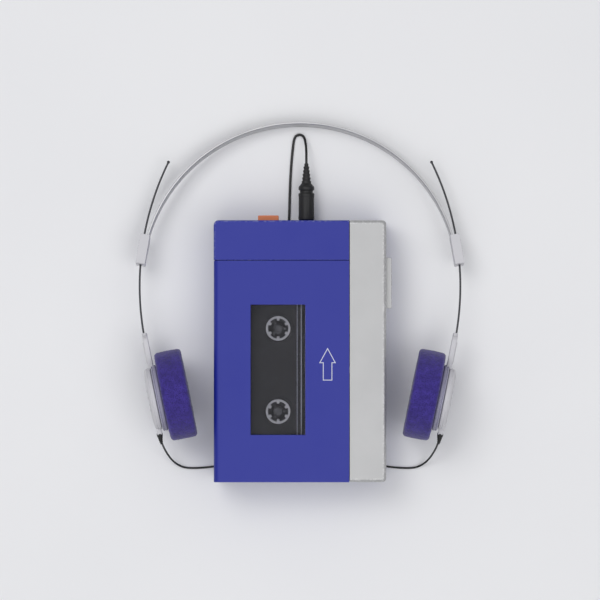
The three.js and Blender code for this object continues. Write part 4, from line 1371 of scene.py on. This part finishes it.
# ---- back, sockets and works ---------------------------------------------------------------
def make_back():
    """Screws and feet under the casing, the battery cap's grip and the socket rings."""
    down = Matrix.Rotation(math.pi, 4, "X")
    screws = bmesh.new()
    for x, y in ((-40, -48), (40, -48), (-40, 48), (40, 48), (0, -50)):
        screw(screws, at_z(x, y, BACK_Z + 0.1) @ down, 1.5)
    show("back_screws", screws, "steel", "player", "steel")
    for index in range(1, 5):
        refined(f"foot_{index}", "rubber", "player", "black_rubber", 0.5)
    ribs = bmesh.new()
    for x in (-35, 35):
        for y in (-64.1, 64.1):
            for step in range(6):
                middle = x - 3.5 + step * 1.4
                block(ribs, (middle - 0.25, middle + 0.25), (y - 1.2, y + 1.2), (0.12, 0.5), 0.08)
    show("foot_ribs", ribs, "rubber", "player", "black_rubber")
    plate = bmesh.new()
    corners = [(-24, -58), (-4, -58), (-4, -42), (-24, -42)]
    slab(plate, fillet(corners, 1.5, 4, True), (BACK_Z - 0.12, BACK_Z + 0.02), 0.04)
    show("rating_plate", plate, "cap", "player", "pale_plastic")

    grip = bmesh.new()
    low = -HALF_HEIGHT
    for step in range(6):
        x = 30.6 + step * 1.7
        block(grip, (x - 0.35, x + 0.35), (low - 0.3, low + 0.1), (6.2, 15.8), 0.16)
    show("battery_cap_grip", grip, "blue", "battery_cap_body", "blue_metal")

    rings = bmesh.new()
    for x in (JACK["x"], JACK["spare_x"]):
        ring = [(2.12, -2.6), (2.45, -2.6), (2.45, -0.02), (3.3, -0.02), (3.3, 0.1)]
        ring += [(3.0, 0.22), (2.3, 0.22), (2.12, 0.05), (2.12, -2.6)]
        lathe(rings, ring, 48, 0, at_z(x, HALF_HEIGHT, JACK["z"]) @ ALONG_Y)
    show("socket_rings", rings, "steel", "player", "steel")
    for jack in ("headphone_jack", "spare_jack"):
        refined(jack, "black", "player", "black_plastic", 0.25)


def make_works():
    """The deck, drive and head pieces that show when the door is open."""
    refined("deck_plate", "deck", "player", "steel", 0.12)
    screws = bmesh.new()
    for x, y in ((-36, -56), (-36, 36), (14, -56), (14, 36)):
        screw(screws, at_z(x, y, 14.4), 1.4, slotted=True)
    show("deck_screws", screws, "brass", "player", "brass")
    posts = bmesh.new()
    for y in (CASSETTE_Y - 25.5 - 6, CASSETTE_Y + 25.5 - 12):
        pin = [(0, 14.3), (1.9, 14.3), (1.9, 15.4), (1.3, 15.6), (1.3, 15.9), (0.8, 16.3)]
        pin += [(0, 16.4)]
        lathe(posts, pin, 28, 0.1, at_z(8, y))
    show("deck_posts", posts, "steel", "player", "steel")
    for name, key, body, slot, width in (
        ("flywheel", "brass", "flywheel_body", "brass", 0.18),
        ("idler_wheel", "rubber", "idler_body", "black_rubber", 0.2),
        ("motor", "steel", "player", "steel", 0.6),
        ("motor_pulley", "brass", "pulley_body", "brass", 0.12),
        ("drive_belt", "rubber", "player", "black_rubber", 0.1),
        ("head_bridge", "steel", "bridge_body", "steel", 0.15),
        ("playback_head", "bright", "bridge_body", "steel", 0.25),
        ("pinch_arm", "steel", "arm_body", "steel", 0.15),
        ("pinch_roller", "rubber", "roller_body", "black_rubber", 0.35),
        ("circuit_board", "board", "player", "circuit_green", 0.1),
        ("battery_cell_1", "cell", "player", "cell_wrap", 0.4),
        ("battery_cell_2", "cell", "player", "cell_wrap", 0.4),
        ("door_hinge_pin", "steel", "player", "steel", 0.1),
    ):
        refined(name, key, body, slot, width)
    cores = bmesh.new()
    block(cores, (24.72, 24.8), (CASSETTE_Y - 0.06, CASSETTE_Y + 0.06), (18.4, 23.6))
    for zs in ((18.6, 20.6), (21.2, 23.4)):
        block(cores, (24.74, 24.84), (CASSETTE_Y - 1.6, CASSETTE_Y + 1.6), zs, 0.04)
    show("head_cores", cores, "brass", "bridge_body", "brass")


# ---- operators and panel -------------------------------------------------------------------
class PLAYER_OT_stage(bpy.types.Operator):
    """Makes the floor, the lights and the camera"""
    bl_idname = "player.stage"
    bl_label = "Stage"

    def execute(self, context):
        make_stage()
        return {"FINISHED"}


class PLAYER_OT_lead(bpy.types.Operator):
    """Makes the lead with its plug, split, coil and two legs"""
    bl_idname = "player.lead"
    bl_label = "Lead and plug"

    def execute(self, context):
        make_lead()
        return {"FINISHED"}


class PLAYER_OT_casing(bpy.types.Operator):
    """Makes the casing's shells, cap and side panel"""
    bl_idname = "player.casing"
    bl_label = "Casing"

    def execute(self, context):
        make_casing()
        return {"FINISHED"}


class PLAYER_OT_door(bpy.types.Operator):
    """Makes the cassette door with its window and holder"""
    bl_idname = "player.door"
    bl_label = "Door"

    def execute(self, context):
        make_door()
        return {"FINISHED"}


class PLAYER_OT_cassette(bpy.types.Operator):
    """Makes the cassette, its reels and the spindles that turn them"""
    bl_idname = "player.cassette"
    bl_label = "Cassette"

    def execute(self, context):
        make_cassette()
        make_reels()
        make_spindles()
        return {"FINISHED"}


class PLAYER_OT_controls(bpy.types.Operator):
    """Makes the keys, sliders, button and the printed arrow"""
    bl_idname = "player.controls"
    bl_label = "Controls"

    def execute(self, context):
        make_keys()
        make_button()
        make_arrow()
        return {"FINISHED"}


class PLAYER_OT_headphones(bpy.types.Operator):
    """Makes the band, sleeves, rods and the two ear pieces"""
    bl_idname = "player.headphones"
    bl_label = "Headphones"

    def execute(self, context):
        make_headband()
        for side in ("left", "right"):
            make_sleeve(side)
            make_rod(side)
            make_ear(side)
            make_pad(side)
        return {"FINISHED"}


class PLAYER_OT_back(bpy.types.Operator):
    """Makes the feet, screws, battery cap grip and sockets"""
    bl_idname = "player.back"
    bl_label = "Back and sockets"

    def execute(self, context):
        make_back()
        return {"FINISHED"}


class PLAYER_OT_works(bpy.types.Operator):
    """Makes the deck, the drive, the heads and the cells"""
    bl_idname = "player.works"
    bl_label = "Works"

    def execute(self, context):
        make_works()
        return {"FINISHED"}


OPERATORS = [
    PLAYER_OT_stage,
    PLAYER_OT_lead,
    PLAYER_OT_casing,
    PLAYER_OT_door,
    PLAYER_OT_cassette,
    PLAYER_OT_controls,
    PLAYER_OT_headphones,
    PLAYER_OT_back,
    PLAYER_OT_works,
]


class PLAYER_PT_panel(bpy.types.Panel):
    """Lists the steps that make the player"""
    bl_idname = "PLAYER_PT_panel"
    bl_label = "Cassette player"
    bl_space_type = "VIEW_3D"
    bl_region_type = "UI"
    bl_category = "Player"

    def draw(self, context):
        scene = context.scene
        for group in (scene.player_colours, scene.player_sizes):
            for setting in group.__annotations__:
                self.layout.prop(group, setting)
        for operator in OPERATORS:
            self.layout.operator(operator.bl_idname)


CLASSES = [PlayerColours, PlayerSizes, *OPERATORS, PLAYER_PT_panel]


def register():
    for item in CLASSES:
        bpy.utils.register_class(item)
    bpy.types.Scene.player_colours = PointerProperty(type=PlayerColours)
    bpy.types.Scene.player_sizes = PointerProperty(type=PlayerSizes)


def unregister():
    del bpy.types.Scene.player_sizes
    del bpy.types.Scene.player_colours
    for item in reversed(CLASSES):
        bpy.utils.unregister_class(item)


def main():
    register()
    for operator in OPERATORS:
        step = operator.bl_idname.split(".")[1]
        getattr(bpy.ops.player, step)()
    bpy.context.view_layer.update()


if __name__ == "__main__":
    main()
